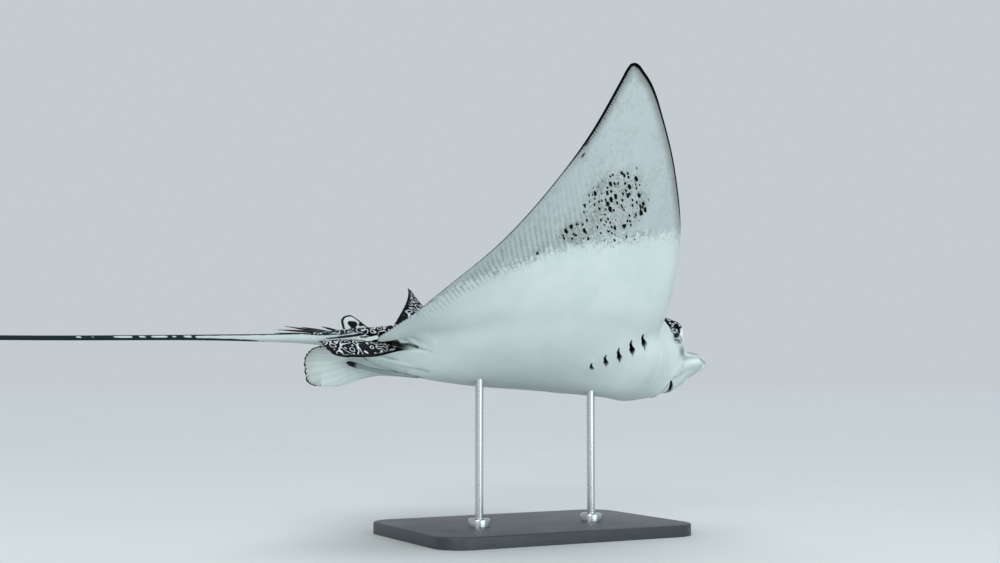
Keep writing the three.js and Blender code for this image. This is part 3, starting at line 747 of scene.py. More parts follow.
# Between the wing's rear corner and the small fin the side of the body is black from the first
# line down to the second; farther back the black lies below the third.
SIDE_FROM = through(((54.2, -1.8), (54.6, -1.66), (55.1, -1.42), (55.75, -1.17), (56.35, -1.1), (57, -0.95),
                     (57.5, -0.4), (58, 0)))
SIDE_TO = through(((54.2, -1.88), (54.5, -2.12), (55.1, -2.2), (55.8, -2.23), (57, -2.25),
                   (58.2, -2.05), (60, -1.7)))
TAIL_FLOOR = through(((59.3, -0.4), (60, -0.58), (60.6, -0.78), (61.3, -1.5)))
# Dashes along the whip: middle back, half length.
DASHES = ((87.6, 0.55), (89.5, 0.3), (91.6, 1.2), (94, 0.4), (96.7, 1.25), (100.7, 0.15), (102.6, 0.35))
BLOTCH_BACK, BLOTCH_LIFT, BLOTCH_RADIUS, FIN_OUTLINE = 62.3, 2.05, 0.7, 0.33
# Ovals on the underside: back, out, half lengths along and across, and turn. The speckled ones
# start with how thickly the speckles lie.
SPECKLED = ((1, 31.3, 29.8, 6.8, 5.8, -12), (0.75, 36.2, 25.4, 4.6, 2.4, -8), (0.55, 31, 25, 9, 2, 0),
            (0.35, 42, 22, 7, 1.6, -38))
CHIPS = ((39.7, 38.4, 0.55, 0.35, 30), (39.6, 36.3, 0.45, 0.3, 30))
CLASPER_MARK = (53.8, 1.03, 0.6, 0.13)
# What the paint reads at each point of the skin: distances in millimetres and the rest as shares.
FIELDS = ("upper", "dusky", "rays", "ray_strength", "speckle", "tick", "edge", "margin_at", "margin",
          "maze", "fine", "pattern", "dark", "shade", "dots", "light", "blobs")


def rim_of(front, rear, start, reach):
    """The edge of a fin, back and span, and how far along it each point is."""
    span = start + (reach - start) * np.sin(np.linspace(0, np.pi / 2, 700))
    line = np.concatenate((np.stack((front(span), span), 1), np.stack((rear(span), span), 1)[::-1]))
    return line, np.concatenate(((0,), np.cumsum(np.hypot(*np.diff(line, axis=0).T))))


def to_rim(back, span, rim):
    line, along = rim
    place = np.stack((back, span), 1)
    nearest = np.concatenate([np.argmin(((p[:, None] - line[None]) ** 2).sum(-1), 1)
                              for p in np.array_split(place, max(1, len(place) // 1500))])
    return np.hypot(*(place - line[nearest]).T), along[nearest]


def spot(back, out, at_back, at_out, half_back, half_out, turn=0):
    """1 in the middle of an oval patch, 0 beyond its edge."""
    c, s = math.cos(math.radians(turn)), math.sin(math.radians(turn))
    b, o = back - at_back, np.abs(out) - at_out
    return 1 - smooth(np.hypot((b * c + o * s) / half_back, (o * c - b * s) / half_out), 0.55, 1.15)


def tail_upper(back, up, round_about):
    """How far into the black a place on the tail is: black above, a white band, black below."""
    far, share = along_line(back, up, TAIL_WEDGE)
    wedge = np.where(back < 67.6, 0.25 * (1 - share) ** 0.5 - far, -FREE)
    dash = 0.11 - along_line(back, up, TAIL_DASH)[0]
    side_top = SIDE_FROM(np.minimum(back, 58)) + 2 * smooth(back, 57.4, 58)
    side = np.minimum.reduce([side_top - up, up - SIDE_TO(back), 59.6 - back])
    floor_top = TAIL_FLOOR(np.maximum(back, 59.3))
    floor = np.minimum.reduce([floor_top - up, up + 1.95, 61.4 - back, back - 59.2])
    root = np.maximum.reduce([up - TAIL_BLACK(back), wedge, dash, side, floor])
    above = round_about - mix(0.5, 0.32, smooth(back, 72, 86))
    under = -mix(1.15, 0.55, smooth(back, 72, 87)) - round_about
    band = np.maximum(above, under) * 0.7
    upper = mix(root, band, smooth(back, 67, 72))
    dashed = np.minimum.reduce([np.abs(back - middle) - half for middle, half in DASHES])
    dashed = np.maximum(dashed * 0.5, (np.abs(round_about - 0.05) - 0.42) * 0.9)
    return mix(upper, dashed, smooth(back, 86.2, 86.8))


def head_upper(flat):
    """The same on the head: the crown, and a loop below each eye."""
    back, up = flat[:, 0], flat[:, 2]
    crown = up - HEAD_BLACK(back)
    loop = 0.27 - along_line(back, up, UNDER_EYE)[0]
    black = np.where(np.abs(flat[:, 1]) > 3, np.maximum(crown, loop), crown)
    return mix(black, np.where(up > side_height(back), -0.4, -2), 1 - smooth(back, 4.5, 5.0))


class Points:
    """The points of the flat animal, with the part of it that each belongs to."""

    def __init__(self, skin):
        self.flat = places(skin)
        self.back, self.out, self.up = back, out, up = self.flat.T
        self.o = np.abs(out)
        part = part_of_points(skin)[1]
        body = part == BODY
        self.pelvic, self.dorsal, self.clasper = (part == p for p in (PELVIC, DORSAL, CLASPER))
        self.tail = body & (back > VENT) & (self.o < 3.9)
        self.head = body & (back < NECK)
        self.wing = body & ~self.tail & (back > NECK)
        self.body, self.below = body, is_below(back, up)
        self.middle = side_height(back)
        high, deep = top_line(back) - self.middle, self.middle - bottom_line(back)
        height = np.maximum(0.1, np.where(up > self.middle, high, deep))
        self.round_about = np.clip((up - self.middle) / height, -1, 1)
        self.under_wing = self.wing & (up < self.middle)
        self.lobe = 1 - smooth(back, 4.4, 4.8)
        self.span = (self.o - PELVIC_OUT) / math.cos(math.radians(PELVIC_DROOP))


def dorsal_upper(p):
    """The small fin: pale, outlined in black, with a three-lobed blotch and bars toward its root."""
    lift, edge = p.up - DORSAL_UP, np.zeros(len(p.up))
    rim = rim_of(through(DORSAL_FRONT), through(DORSAL_REAR), 0, DORSAL_FRONT[-1][0])
    edge[p.dorsal] = to_rim(p.back[p.dorsal], lift[p.dorsal], rim)[0]
    behind, above = p.back - BLOTCH_BACK, lift - BLOTCH_LIFT
    lobes = 0.14 * np.cos(3 * np.arctan2(above, behind) - 1.4)
    blotch = BLOTCH_RADIUS + lobes - np.hypot(behind, above)
    root = 0.85 - lift + 0.2 * np.sin(p.back * 4.1)
    bars = 0.5 * np.sin(5.2 * lift + 2.2 * p.back) - 0.1 - 2 * smooth(p.back - 61.2, 0, 0.7)
    return np.maximum.reduce([FIN_OUTLINE - edge, blotch, root, bars])


def black_of_back(p):
    """How far into the black of the back each point is, less than nothing on the white."""
    rise = p.up - p.middle
    upper = np.where(rise > 0, np.maximum(0.35, rise), rise)
    upper = np.where(np.abs(rise) < 1e-4, -0.02, upper)
    upper = np.where(p.head, mix(head_upper(p.flat), upper, smooth(p.back, 12, NECK)), upper)
    tail = tail_upper(p.back, p.up, p.round_about)
    upper = np.where(p.tail, mix(upper, tail, smooth(p.back, 57, 58.5)), upper)
    sheet_up = PELVIC_UP - p.span * math.sin(math.radians(PELVIC_DROOP))
    upper = np.where(p.pelvic, (p.up - sheet_up) * 3 + np.where(p.out < 0, 0.02, -0.25), upper)
    upper = np.where(p.dorsal, dorsal_upper(p), upper)
    return np.where(p.clasper, -FREE, upper)


def edges(p):
    """How far the fin's edge is, where along it, how wide its black is, and whether it is the rear."""
    edge, along = np.full(len(p.back), float(FREE)), np.zeros(len(p.back))
    rim = rim_of(leading_edge, trailing_edge, WING_ROOT_REAR[0], WING_TIP_OUT)
    chosen = p.wing & (p.o > 4)
    edge[chosen], along[chosen] = to_rim(p.back[chosen], p.o[chosen], rim)
    rear = along > rim[1][len(rim[1]) // 2]
    at_rear = 0.06 + 0.12 * smooth(p.o, 18, 26) + 0.82 * smooth(p.o, 33, 41)
    at_front = 0.15 + 0.85 * smooth(p.o, 23, 31) + 0.3 * smooth(p.o, 42, 48)
    margin = np.where(p.wing, np.where(rear, at_rear, at_front), 0)
    rim = rim_of(through(PELVIC_FRONT), through(PELVIC_REAR), 0, PELVIC_FRONT[-1][0])
    edge[p.pelvic], along[p.pelvic] = to_rim(p.back[p.pelvic], p.span[p.pelvic], rim)
    pelvic_rear = along > rim[1][len(rim[1]) // 2] - 0.5
    margin = np.where(p.pelvic, np.where(pelvic_rear, 0.35, 0), margin)
    return edge, along, margin, rear


def fin_rays(p, dusky, edge, rear):
    """Where the rays of the fins run, and how clearly they show."""
    steps_out = np.linspace(0, WING_TIP_OUT, 501)
    slant = np.interp(steps_out[1:], *np.array(RAY_SLANT).T)
    lean = np.concatenate(((0,), np.cumsum(slant * steps_out[1])))
    rays = p.back - np.interp(p.o, steps_out, lean)
    rays = np.where(p.pelvic, np.degrees(np.arctan2(p.span, p.back - 46)) * 0.5, rays)
    near_white = smooth(dusky + 3 * smooth(p.back, 47, 56), -1.6, 0.4) * (1 - 0.6 * smooth(dusky, 3, 10))
    strength = near_white * smooth(edge, 0.3, 1.6) * (1 - smooth(edge, 9, 13)) * rear
    strength *= (1 - smooth(p.o, 33, 42)) * smooth(p.o, 7, 19) * mix(0.62, 0.3, smooth(p.o, 22, 30))
    return rays, np.where(p.wing, strength, np.where(p.pelvic, 0.16 * smooth(p.back, 57, 62), 0))


def shade_in_openings_and_marks(p):
    """1 where shade is painted black inside the slits, the holes and the near side's hollow, which is
    partly black of its own, and on a few black marks of the animal's own; 0 beyond their edges.
    """
    back, out, up, o = p.back, p.out, p.up, p.o
    gap = np.where(p.below & (back > 13) & (back < 28), gill_gap(back, out), FREE)
    slit, groove = mouth_gaps(back, out)
    at_mouth = p.below & (back > 4.5) & (back < 12.5) & (o < MOUTH_OUT + 0.2)
    slit = smooth(-slit, -0.03, 0.05)
    groove = 0.85 * smooth(-groove, -0.04, 0.05) * smooth(o, 0.6, 1.6)
    at_spiracle = (back > 9) & (back < 14) & (up > 1)

    # Painted shade in the near side's hollow between the wing and the small fin, over the body's own black,
    # closed off above by a black line.
    hollow_shade = smooth(SIDE_FROM(back) - up, -0.04, 0.08) * smooth(up - SIDE_TO(back), -0.05, 0.12)
    hollow_shade = hollow_shade * mix(0.3, 0.97, smooth(back, 54.8, 56.8))
    hollow_shade = np.maximum(hollow_shade, 0.9 * smooth(0.14 - np.abs(SIDE_FROM(back) - 0.1 - up), -0.06, 0.06))
    at_hollow = p.below & ~p.clasper & ~p.pelvic & (back > 54.2) & (back < 58.7) & (o > 3) & (out < 0)

    mark = 0.85 * spot(back, out, *CLASPER_MARK) * (out > 0)
    at_root = p.below & (back > 49) & (back < 58.5) & ~p.clasper
    chips = np.maximum.reduce([spot(back, out, *chip) for chip in CHIPS])
    # Painted shade inside the gill slits, the mouth and its groove, the hollow and the spiracles; the
    # clasper's mark and the chips are black of the animal's own.
    dark = np.maximum.reduce([
        smooth(-gap, -0.03, 0.05), np.where(at_mouth, np.maximum(slit, groove), 0),
        np.where(at_hollow, hollow_shade, 0), np.where(at_root, mark, 0), np.where(p.under_wing, chips, 0),
        np.where(at_spiracle, smooth(1 - spiracle_share(p.flat), 0, 0.12), 0)])
    length = (back - CLASPER_BASE[0]) / (CLASPER_TIP[0] - CLASPER_BASE[0])
    return np.where(p.clasper, 0.95 * smooth(length, 0.85, 0.9) * (out > 0), dark)


def painted_shade_and_greys(p):
    """Where the white is darkened: painted shade in the folds, the crease, the hollow behind the
    snout's lobe, under the lobe and along the tail; a grey of their own on the lobe's top, the
    claspers, their roots and the small fin.
    """
    back, out, up, o = p.back, p.out, p.up, p.o
    # Painted shade along the crease beside the wing's rear root.
    crease, share = along_line(back, o, CREASE)
    crease = 0.55 * bell(crease, 0.1) * smooth(share, 0, 0.3)
    at_crease = p.below & (back > 49) & (back < 58.5) & ~p.clasper
    root, share = along_line(back, o, CLASPER_ROOT)
    root = smooth(0.3 - root, -0.05, 0.08) * np.where(out > 0, 0.6, 0.25) * smooth(share, 0, 0.3)
    # Painted shade in the hollow behind the snout's lobe and along the lobe's top, over a dusky grey of
    # their own.
    notch_shade_and_dusk = 0.8 * bell(back - 6.95, 0.7) * bell(up + 1.25, 0.75)
    notch_shade_and_dusk = np.maximum(notch_shade_and_dusk, 0.5 * bell(along_line(back, up, LOBE_TOP)[0], 0.4))
    lobe_top = 0.7 * smooth(up - p.middle, 0.5, 1.7) * p.lobe * smooth(back, -0.6, 2)
    # Painted shade under the snout's lobe.
    lobe_under_shade = 0.24 * (1 - smooth(back, 3, 6.5)) * smooth(-1.9 - up, 0, 0.8)
    # Painted shade also lies along the tail and in the fold under the snout's rim; the small fin and the
    # clasper roots are a little greyer.
    shade = np.maximum.reduce([
        np.where(at_crease, crease, 0), np.where(p.tail, 0.26 * smooth(back, 60, 64), 0),
        np.where(p.dorsal, 0.12, 0), np.where(p.below & p.body & (back > 50) & (back < 60), root, 0),
        np.where(p.head & (o > 2.4), notch_shade_and_dusk, 0), np.where(p.head, np.maximum(lobe_top, lobe_under_shade), 0),
        0.3 * bell(along_line(back, o, FOLD)[0], 0.2) * p.below * (back < 9)])
    return np.where(p.clasper, np.where(out > 0, 0.6, 0.1), shade)


def lights(p):
    """Where the head is brighter: a white streak before the eye, which is its own colour, and painted
    highlights on the cheek and along the lobe's rim.
    """
    brow = smooth(0.18 - along_line(p.back, p.up, BROW)[0], -0.05, 0.05) * (p.o > 4)
    # Painted highlights: a pale band along the cheek and a pale rim along the snout's lobe.
    cheek_highlight = 0.4 * bell(along_line(p.back, p.up, CHEEK_HIGHLIGHT)[0], 0.5) * (p.o > 2.4)
    rim = 0.8 * smooth(0.2 - along_line(p.back, p.up, LOBE_RIM_HIGHLIGHT)[0], -0.1, 0.1) * p.below
    return np.where(p.head, np.maximum.reduce([brow, cheek_highlight, rim]), 0)


def pattern_of_back(p, edge):
    """Where the white marks of the back close up to a maze, where that is fine, and where any show."""
    rear_part = smooth(p.back, 44, 49) * (1 - smooth(p.o, 10, 14))
    maze = np.where(p.wing, np.maximum(smooth(p.o, 28, 36), rear_part), 1)
    fine = np.where(p.wing, 0, np.where(p.head, 1 - smooth(p.back, 10, NECK), 1))
    shown = np.where(p.wing, smooth(edge, 0.35, 0.9), np.where(p.dorsal, 0, 1))
    on_tail = (1 - smooth(p.back, 68, 71)) * smooth(p.up - TAIL_BLACK(p.back), 0.05, 0.2)
    shown = np.where(p.tail, on_tail, np.where(p.pelvic, smooth(edge, 0.15, 0.4), shown))
    shown = np.where(p.head, (1 - p.lobe) * smooth(head_upper(p.flat), 0.12, 0.35), shown)
    return maze, fine, shown


def paint_fields(skin):
    """Each field says where one colour lies, for every point of the flat animal."""
    p, mm = Points(skin), PERCENT / MM
    edge, along, margin, rear = edges(p)
    dusky = np.where(p.wing, p.o - WHITE_ENDS(p.back), -FREE)
    rays, ray_strength = fin_rays(p, dusky, edge, rear)
    patch = np.maximum.reduce([thick * spot(p.back, p.out, *oval) for thick, *oval in SPECKLED])
    patch = np.where(p.under_wing, patch, 0)
    maze, fine, shown = pattern_of_back(p, edge)
    dots = spot(p.back, np.abs(p.up - 0.3) + 5, 8.1, 5, 1.35, 0.85)
    dots = np.where(p.head & (p.o > 4), dots, 0)
    blobs = np.where(p.head, 1 - smooth(p.back, 10.5, NECK), 0)
    values = (black_of_back(p) * mm, dusky * mm, rays * mm, ray_strength, patch, rear | p.pelvic, edge * mm,
              along * mm, margin, maze, fine, shown, shade_in_openings_and_marks(p), painted_shade_and_greys(p), dots, lights(p), blobs)
    return dict(zip(FIELDS, values))


def model_skin():
    skin = body_and_wings()
    mark(skin, BODY)
    for side in (1, -1):
        grow_fin(skin, pelvic_fin(side), PELVIC)
    grow_fin(skin, dorsal_fin(), DORSAL)
    for side in (1, -1):
        grow_fin(skin, clasper(side), CLASPER)
    refine_openings(skin)
    drop_idle_points(skin)
    ease(skin, lambda back, out, up: (back > 51.5) & (back < 57.6) & (np.abs(out) > 4.3) & (np.abs(out) < 7)
         & (up > -2.6) & (up < -0.3), 30)
    ease(skin, lambda back, out, up: (back > 3.4) & (back < 6.6) & (np.abs(out) > 2) & (up < -1.4), 60)
    carve(skin)
    for name, values in paint_fields(skin).items():
        keep(skin, name, values)
    keep(skin, "flat", places(skin) * PERCENT / MM, "FLOAT_VECTOR")
    move_points(skin, posed(*places(skin).T))
    apply(skin, "TRIANGULATE")
    only(skin)
    bpy.ops.object.shade_smooth_by_angle(angle=math.radians(62))
    return skin


# ---- eyes, spines and stand ----

def local_frame(back, out, up):
    """The turned place of a small part: along the body, outwards and up become its axes."""
    here, step = posed(back, out, up), 0.2
    ahead = Vector(posed(back - step, out, up) - here).normalized()
    outward = Vector(posed(back, out + math.copysign(step, out or 1), up) - here)
    outward = (outward - outward.dot(ahead) * ahead).normalized()
    frame_of = Matrix((ahead, outward, ahead.cross(outward) * math.copysign(1, out or 1))).transposed()
    return Matrix.Translation(here) @ frame_of.to_4x4()


def model_eye():
    """A ball with the bulge of the cornea, looking along +Y."""
    radius = EYE_RADIUS * PERCENT
    bpy.ops.object.select_all(action="DESELECT")
    bpy.ops.mesh.primitive_uv_sphere_add(segments=56, ring_count=36, radius=radius,
                                         rotation=(math.pi / 2, 0, 0))
    eye = bpy.context.object
    bpy.ops.object.transform_apply(location=True, rotation=True, scale=True)
    points = np.array([v.co for v in eye.data.vertices])
    far = np.hypot(points[:, 0], points[:, 2]) / radius
    gaze = points / radius * (1, -1, 1)
    forward = points[:, 1] < 0
    points[:, 1] -= np.where(forward, 0.07 * radius * (1 - smooth(far, 0.15, 0.62)), 0)
    points[:, 1] *= -1
    move_points(eye, points)
    keep(eye, "gaze", gaze, "FLOAT_VECTOR")
    face_outwards(eye)
    bpy.ops.object.shade_smooth()
    return eye


def copied(piece, name, matrix):
    """A copy with its own mesh, put in its place inside the mesh."""
    twin = bpy.data.objects.new(name, piece.data.copy())
    bpy.context.scene.collection.objects.link(twin)
    twin.data.transform(matrix)
    if matrix.to_3x3().determinant() < 0:
        twin.data.flip_normals()
    return twin


SPINE_RINGS = 30


def model_spine():
    """One metre of flat horny blade, toothed down both edges, to be scaled to its length."""
    bpy.ops.object.select_all(action="DESELECT")
    bpy.ops.mesh.primitive_cone_add(vertices=12, radius1=1, radius2=0.02, depth=1, location=(0, 0, 0.5))
    spine = bpy.context.object
    bpy.ops.object.transform_apply(location=True, rotation=True, scale=True)
    for ring in range(1, SPINE_RINGS):
        edit_all(spine)
        bpy.ops.mesh.bisect(plane_co=(0, 0, ring / SPINE_RINGS), plane_no=(0, 0, 1))
    bpy.ops.object.mode_set(mode="OBJECT")
    x, y, z = np.array([v.co for v in spine.data.vertices]).T
    width = np.hypot(x, y)
    turn = np.arctan2(y, x)
    full = smooth(1 - z, 0, 0.5)
    tooth = 0.28 * ((z * SPINE_RINGS) % 3 < 0.5) * np.abs(np.cos(turn)) ** 6 * (z > 0.15) * (z < 0.93)
    radius = np.where(width > 1e-6, 0.25 + 0.75 * full, 0)
    radius = np.where(z > 0.999, 0.04, radius)
    x, y = (radius + tooth) * np.cos(turn), 0.8 * radius * np.sin(turn)
    move_points(spine, np.stack((x, y, z), 1))
    keep(spine, "along", z)
    only(spine)
    bpy.ops.object.shade_smooth_by_angle(angle=math.radians(40))
    return spine


def spine_place(start, end, rise, out):
    base = Vector(posed(start, out, top_line(start) - 0.1))
    tip = Vector(posed(end, out, top_line(end) + rise))
    along = tip - base
    across = along.cross(Vector((0, 0, 1))).normalized()
    above = across.cross(along).normalized()
    axes = Matrix((across * SPINE_RADIUS, above * SPINE_RADIUS, along)).transposed()
    return Matrix.Translation(base) @ axes.to_4x4()


def model_base(low, high):
    """The board: a block with round corners, a softened top edge and a flat inset ring on its underside."""
    bpy.ops.object.select_all(action="DESELECT")
    middle, size = (low + high) / 2, high - low
    bpy.ops.mesh.primitive_cube_add(size=1, location=middle, scale=size)
    base = bpy.context.object
    base.name = "stand_board"
    bpy.ops.object.transform_apply(location=True, rotation=True, scale=True)
    choose(base, "EDGE", lambda e: abs(e.verts[0].co.z - e.verts[1].co.z) > 0.01)
    bpy.ops.mesh.bevel(offset=60 * MM, segments=14, affect="EDGES")
    choose(base, "FACE", lambda f: f.normal.z > 0.9)
    bpy.ops.mesh.bevel(offset=4 * MM, segments=4, affect="EDGES")
    choose(base, "FACE", lambda f: f.normal.z < -0.9)
    bpy.ops.mesh.inset(thickness=5 * MM)
    choose(base, "FACE", lambda f: f.normal.z < -0.9 and f.calc_area() > 0.05)
    bpy.ops.object.mode_set(mode="OBJECT")
    only(base)
    bpy.ops.object.shade_smooth_by_angle(angle=math.radians(35))
    return base


ROD_RADIUS, COLLAR_RADIUS, COLLAR_HEIGHT, BOARD = 9 * MM, 24 * MM, 16 * MM, 26 * MM
ROD_BACKS = {"stand_rod_front": 22, "stand_rod_rear": 42}


def model_rod(name):
    """A turned collar and the rod that rises from it into the belly."""
    foot = posed(ROD_BACKS[name], 0, bottom_line(ROD_BACKS[name]))
    bpy.ops.object.select_all(action="DESELECT")
    bpy.ops.mesh.primitive_cylinder_add(vertices=48, radius=COLLAR_RADIUS, depth=COLLAR_HEIGHT,
                                        location=(foot[0], foot[1], BOARD + COLLAR_HEIGHT / 2))
    rod = bpy.context.object
    rod.name = name.replace("stand", "steel")
    bpy.ops.object.transform_apply(location=True, rotation=True, scale=True)
    choose(rod, "EDGE", lambda e: min(v.co.z for v in e.verts) > BOARD + COLLAR_HEIGHT - MM)
    bpy.ops.mesh.bevel(offset=3 * MM, segments=4, affect="EDGES")
    choose(rod, "FACE", lambda f: f.normal.z > 0.9 and f.calc_area() > 5e-4)
    bpy.ops.mesh.inset(thickness=COLLAR_RADIUS - 3 * MM - ROD_RADIUS - 1.5 * MM)
    bpy.ops.mesh.extrude_region_move(TRANSFORM_OT_translate={"value": (0, 0, -1.5 * MM)})
    bpy.ops.mesh.inset(thickness=1.5 * MM)
    rise = foot[2] + 12 * MM - (BOARD + COLLAR_HEIGHT - 1.5 * MM)
    bpy.ops.mesh.extrude_region_move(TRANSFORM_OT_translate={"value": (0, 0, rise)})
    bpy.ops.object.mode_set(mode="OBJECT")
    only(rod)
    bpy.ops.object.shade_smooth_by_angle(angle=math.radians(35))
    return rod


# ---- materials ----

def linear(code, alpha=1.0):
    """A colour written as sRGB hex, as the shader wants it."""
    parts = [int(code[i:i + 2], 16) / 255 for i in (1, 3, 5)]
    return tuple(c / 12.92 if c <= 0.04045 else ((c + 0.055) / 1.055) ** 2.4 for c in parts) + (alpha,)


def material(name):
    made = bpy.data.materials.new(name)
    made.use_nodes = True
    tree = made.node_tree
    return made, tree, next(n for n in tree.nodes if n.type == "BSDF_PRINCIPLED")


def add(tree, kind, inputs=(), **settings):
    """Adds a node. Its inputs come in order, or by name or number: numbers, colours, nodes or outputs."""
    node = tree.nodes.new("ShaderNode" + kind)
    for key, value in settings.items():
        setattr(node, key, value)
    connect(tree, node, inputs)
    return node


def connect(tree, node, inputs):
    """Sets a node's inputs to constants and links the others."""
    for key, value in inputs.items() if isinstance(inputs, dict) else enumerate(inputs):
        if isinstance(value, bpy.types.Node):
            value = next(socket for socket in value.outputs if socket.enabled)
        if isinstance(value, bpy.types.NodeSocket):
            tree.links.new(value, node.inputs[key])
        else:
            node.inputs[key].default_value = value


BELLY, BELLY_SHADOW, OUTER_UNDERSIDE = "#d2dcda", "#c6d2d1", "#b4bebf"
STRIPE_GREY, SPECK_BLACK, SPECK_HALO, EDGE_BROWN = "#6f7b7a", "#0c0d0a", "#6f6f66", "#5f5c55"
# The opening black and the grey beside it also paint shade, in the openings and in folds and hollows; the
# bright white below also paints highlights.
BACK_BLACK, RING_WHITE, SHADE_AND_MARK_BLACK, SHADE_AND_DUSKY_GREY = "#010206", "#bcc6cb", "#010203", "#3f5157"
BRIGHT_WHITE = "#f2f6f6"
RAY_SPACING, TICK_SPACING, EDGE_WIDTH, MAZE_TURNS = 13.3, 6.0, 6.0, 3.1     # all but the last in mm
NOISES = ((90, 3.0), (40, 2.0), (20, 0.0), (16, 3.0), (11.5, 0.0), (5, 2.0), (3, 4.0))   # mm, detail
SOFT = {"interpolation_type": "SMOOTHSTEP"}


def painted_skin():
    """Cast resin painted as skin: airbrushed and satin. It looks soft and a little moist."""
    made, tree, shader = material("airbrushed cast resin skin")
    node = partial(add, tree)
    flat = node("Attribute", attribute_name="flat").outputs["Vector"]   # millimetres
    at = {name: node("Attribute", attribute_name=name).outputs["Fac"] for name in FIELDS}
    noise = {size: node("TexNoise", {"Vector": flat, "Scale": 1 / size, "Detail": detail, "Roughness": 0.6})
             for size, detail in NOISES}
    wide, medium, small = noise[90], noise[16], noise[5]
    ragged = node("Math", (medium, 0.5), operation="SUBTRACT")
    grain = node("Math", (small, 0.5), operation="SUBTRACT")

    # The underside: white within a ragged, mottled line, grey beyond it, with soft clouding.
    cloud = node("MapRange", (wide, 0.35, 0.68, 0.0, 0.6), **SOFT)
    white = node("Mix", {0: cloud, 6: linear(BELLY), 7: linear(BELLY_SHADOW)}, data_type="RGBA")
    line = node("Math", (ragged, 70.0, at["dusky"]), operation="MULTIPLY_ADD")
    line = node("Math", (grain, 55.0, line), operation="MULTIPLY_ADD")
    outer = node("MapRange", (line, -15.0, 12.0), **SOFT)
    under = node("Mix", {0: outer, 6: white.outputs[2], 7: linear(OUTER_UNDERSIDE)}, data_type="RGBA")

    # Rays of the fins, wandering a little and broken like brush strokes.
    wander = node("Math", (wide, 22.0, at["rays"]), operation="MULTIPLY_ADD")
    wander = node("Math", (medium, 3.0, wander), operation="MULTIPLY_ADD")
    wander = node("Math", (wander, 2 * math.pi / RAY_SPACING), operation="MULTIPLY")
    wave = node("Math", (wander,), operation="SINE")
    ray = node("MapRange", (wave, -0.4, 0.8, 0.0, 0.72), **SOFT)
    strokes = node("MapRange", (medium, 0.25, 0.55, 0.35, 1.0), **SOFT)
    ray = node("Math", (ray, strokes), operation="MULTIPLY")
    ray = node("Math", (ray, at["ray_strength"]), operation="MULTIPLY")

    # Oval speckles 3 to 10 mm long in a faint brownish haze, crowding together in places.
    crowd = node("Math", (noise[40], 0.5, -0.25), operation="MULTIPLY_ADD")
    wobble = node("VectorMath", {0: small.outputs["Color"], "Scale": 5.0}, operation="SCALE")
    wobble = node("VectorMath", (flat, wobble), operation="ADD")
    wobble = node("Mapping", {"Vector": wobble, "Rotation": (0, 0, -0.8), "Scale": (1.9, 1, 1)},
                  vector_type="TEXTURE")
    within = node("MapRange", (at["speckle"], 0.0, 0.08), **SOFT)
    specks = 0.0
    for size, largest, fewest in ((11.5, 0.36, 0.85), (6.5, 0.38, 0.8)):
        ovals = node("TexVoronoi", {"Vector": wobble, "Scale": 1 / size, "Randomness": 1.0})
        absent = node("MapRange", (at["speckle"], 0.05, 0.95, fewest, 0.3), **SOFT)
        chance = node("Math", (ovals.outputs["Color"], crowd), operation="ADD")
        chance = node("Math", (chance, absent), operation="SUBTRACT")
        limit = node("MapRange", (chance, 0.0, 0.3, 0.0, largest), **SOFT)
        here = node("Math", (limit, ovals.outputs["Distance"]), operation="SUBTRACT")
        here = node("MapRange", (here, -0.02, 0.06), **SOFT)
        here = node("Math", (here, within), operation="MULTIPLY")
        specks = node("Math", (specks, here), operation="MAXIMUM")
    thick = node("MapRange", (node("Math", (small, crowd), operation="ADD"), 0.3, 0.7), **SOFT)
    haze = node("MapRange", (at["speckle"], 0.1, 1.0, 0.0, 0.65), **SOFT)
    haze = node("Math", (haze, thick), operation="MULTIPLY")

    # Fine grey mottling of the outer half, 4 to 8 mm across, thickest along the rays' inner ends.
    flecks = node("MapRange", (small, 0.48, 0.68), **SOFT)
    blots = node("MapRange", (medium, 0.42, 0.68), **SOFT)
    mottle = node("Math", (flecks, blots), operation="ADD")
    for limits in ((at["dusky"], -45.0, 10.0, 0.0, 0.2), (wide, 0.35, 0.6, 0.3, 1.0)):
        share = node("MapRange", limits, **SOFT)
        mottle = node("Math", (mottle, share), operation="MULTIPLY")

    # The black edge, widest at the wing tip, with fine ticks along the rear edge.
    edged = node("MapRange", (at["margin"], 0.0, 0.05), **SOFT)
    tick = node("Math", (at["margin_at"], 2 * math.pi / TICK_SPACING), operation="MULTIPLY")
    tick = node("MapRange", (node("Math", (tick,), operation="SINE"), 0.3, 0.95), **SOFT)
    reach = node("MapRange", (small, 0.35, 0.65, 4.0, 13.0), **SOFT)
    reach = node("Math", (reach, at["margin"]), operation="MULTIPLY")
    reach = node("Math", (reach, at["edge"]), operation="SUBTRACT")
    ticks = node("MapRange", (reach, -5.0, 1.0), **SOFT)
    for share in (tick, at["tick"], 0.9, edged):
        ticks = node("Math", (ticks, share), operation="MULTIPLY")
    border = node("Math", (at["margin"], EDGE_WIDTH), operation="MULTIPLY")
    border = node("Math", (border, at["edge"]), operation="SUBTRACT")
    border = node("MapRange", (border, -0.9, 0.6), **SOFT)
    border = node("Math", (border, edged), operation="MULTIPLY")
    tinted = node("MapRange", (at["edge"], 30.0, 5.0, 0.0, 0.6), **SOFT)
    tinted = node("Math", (tinted, at["margin"]), operation="MULTIPLY")

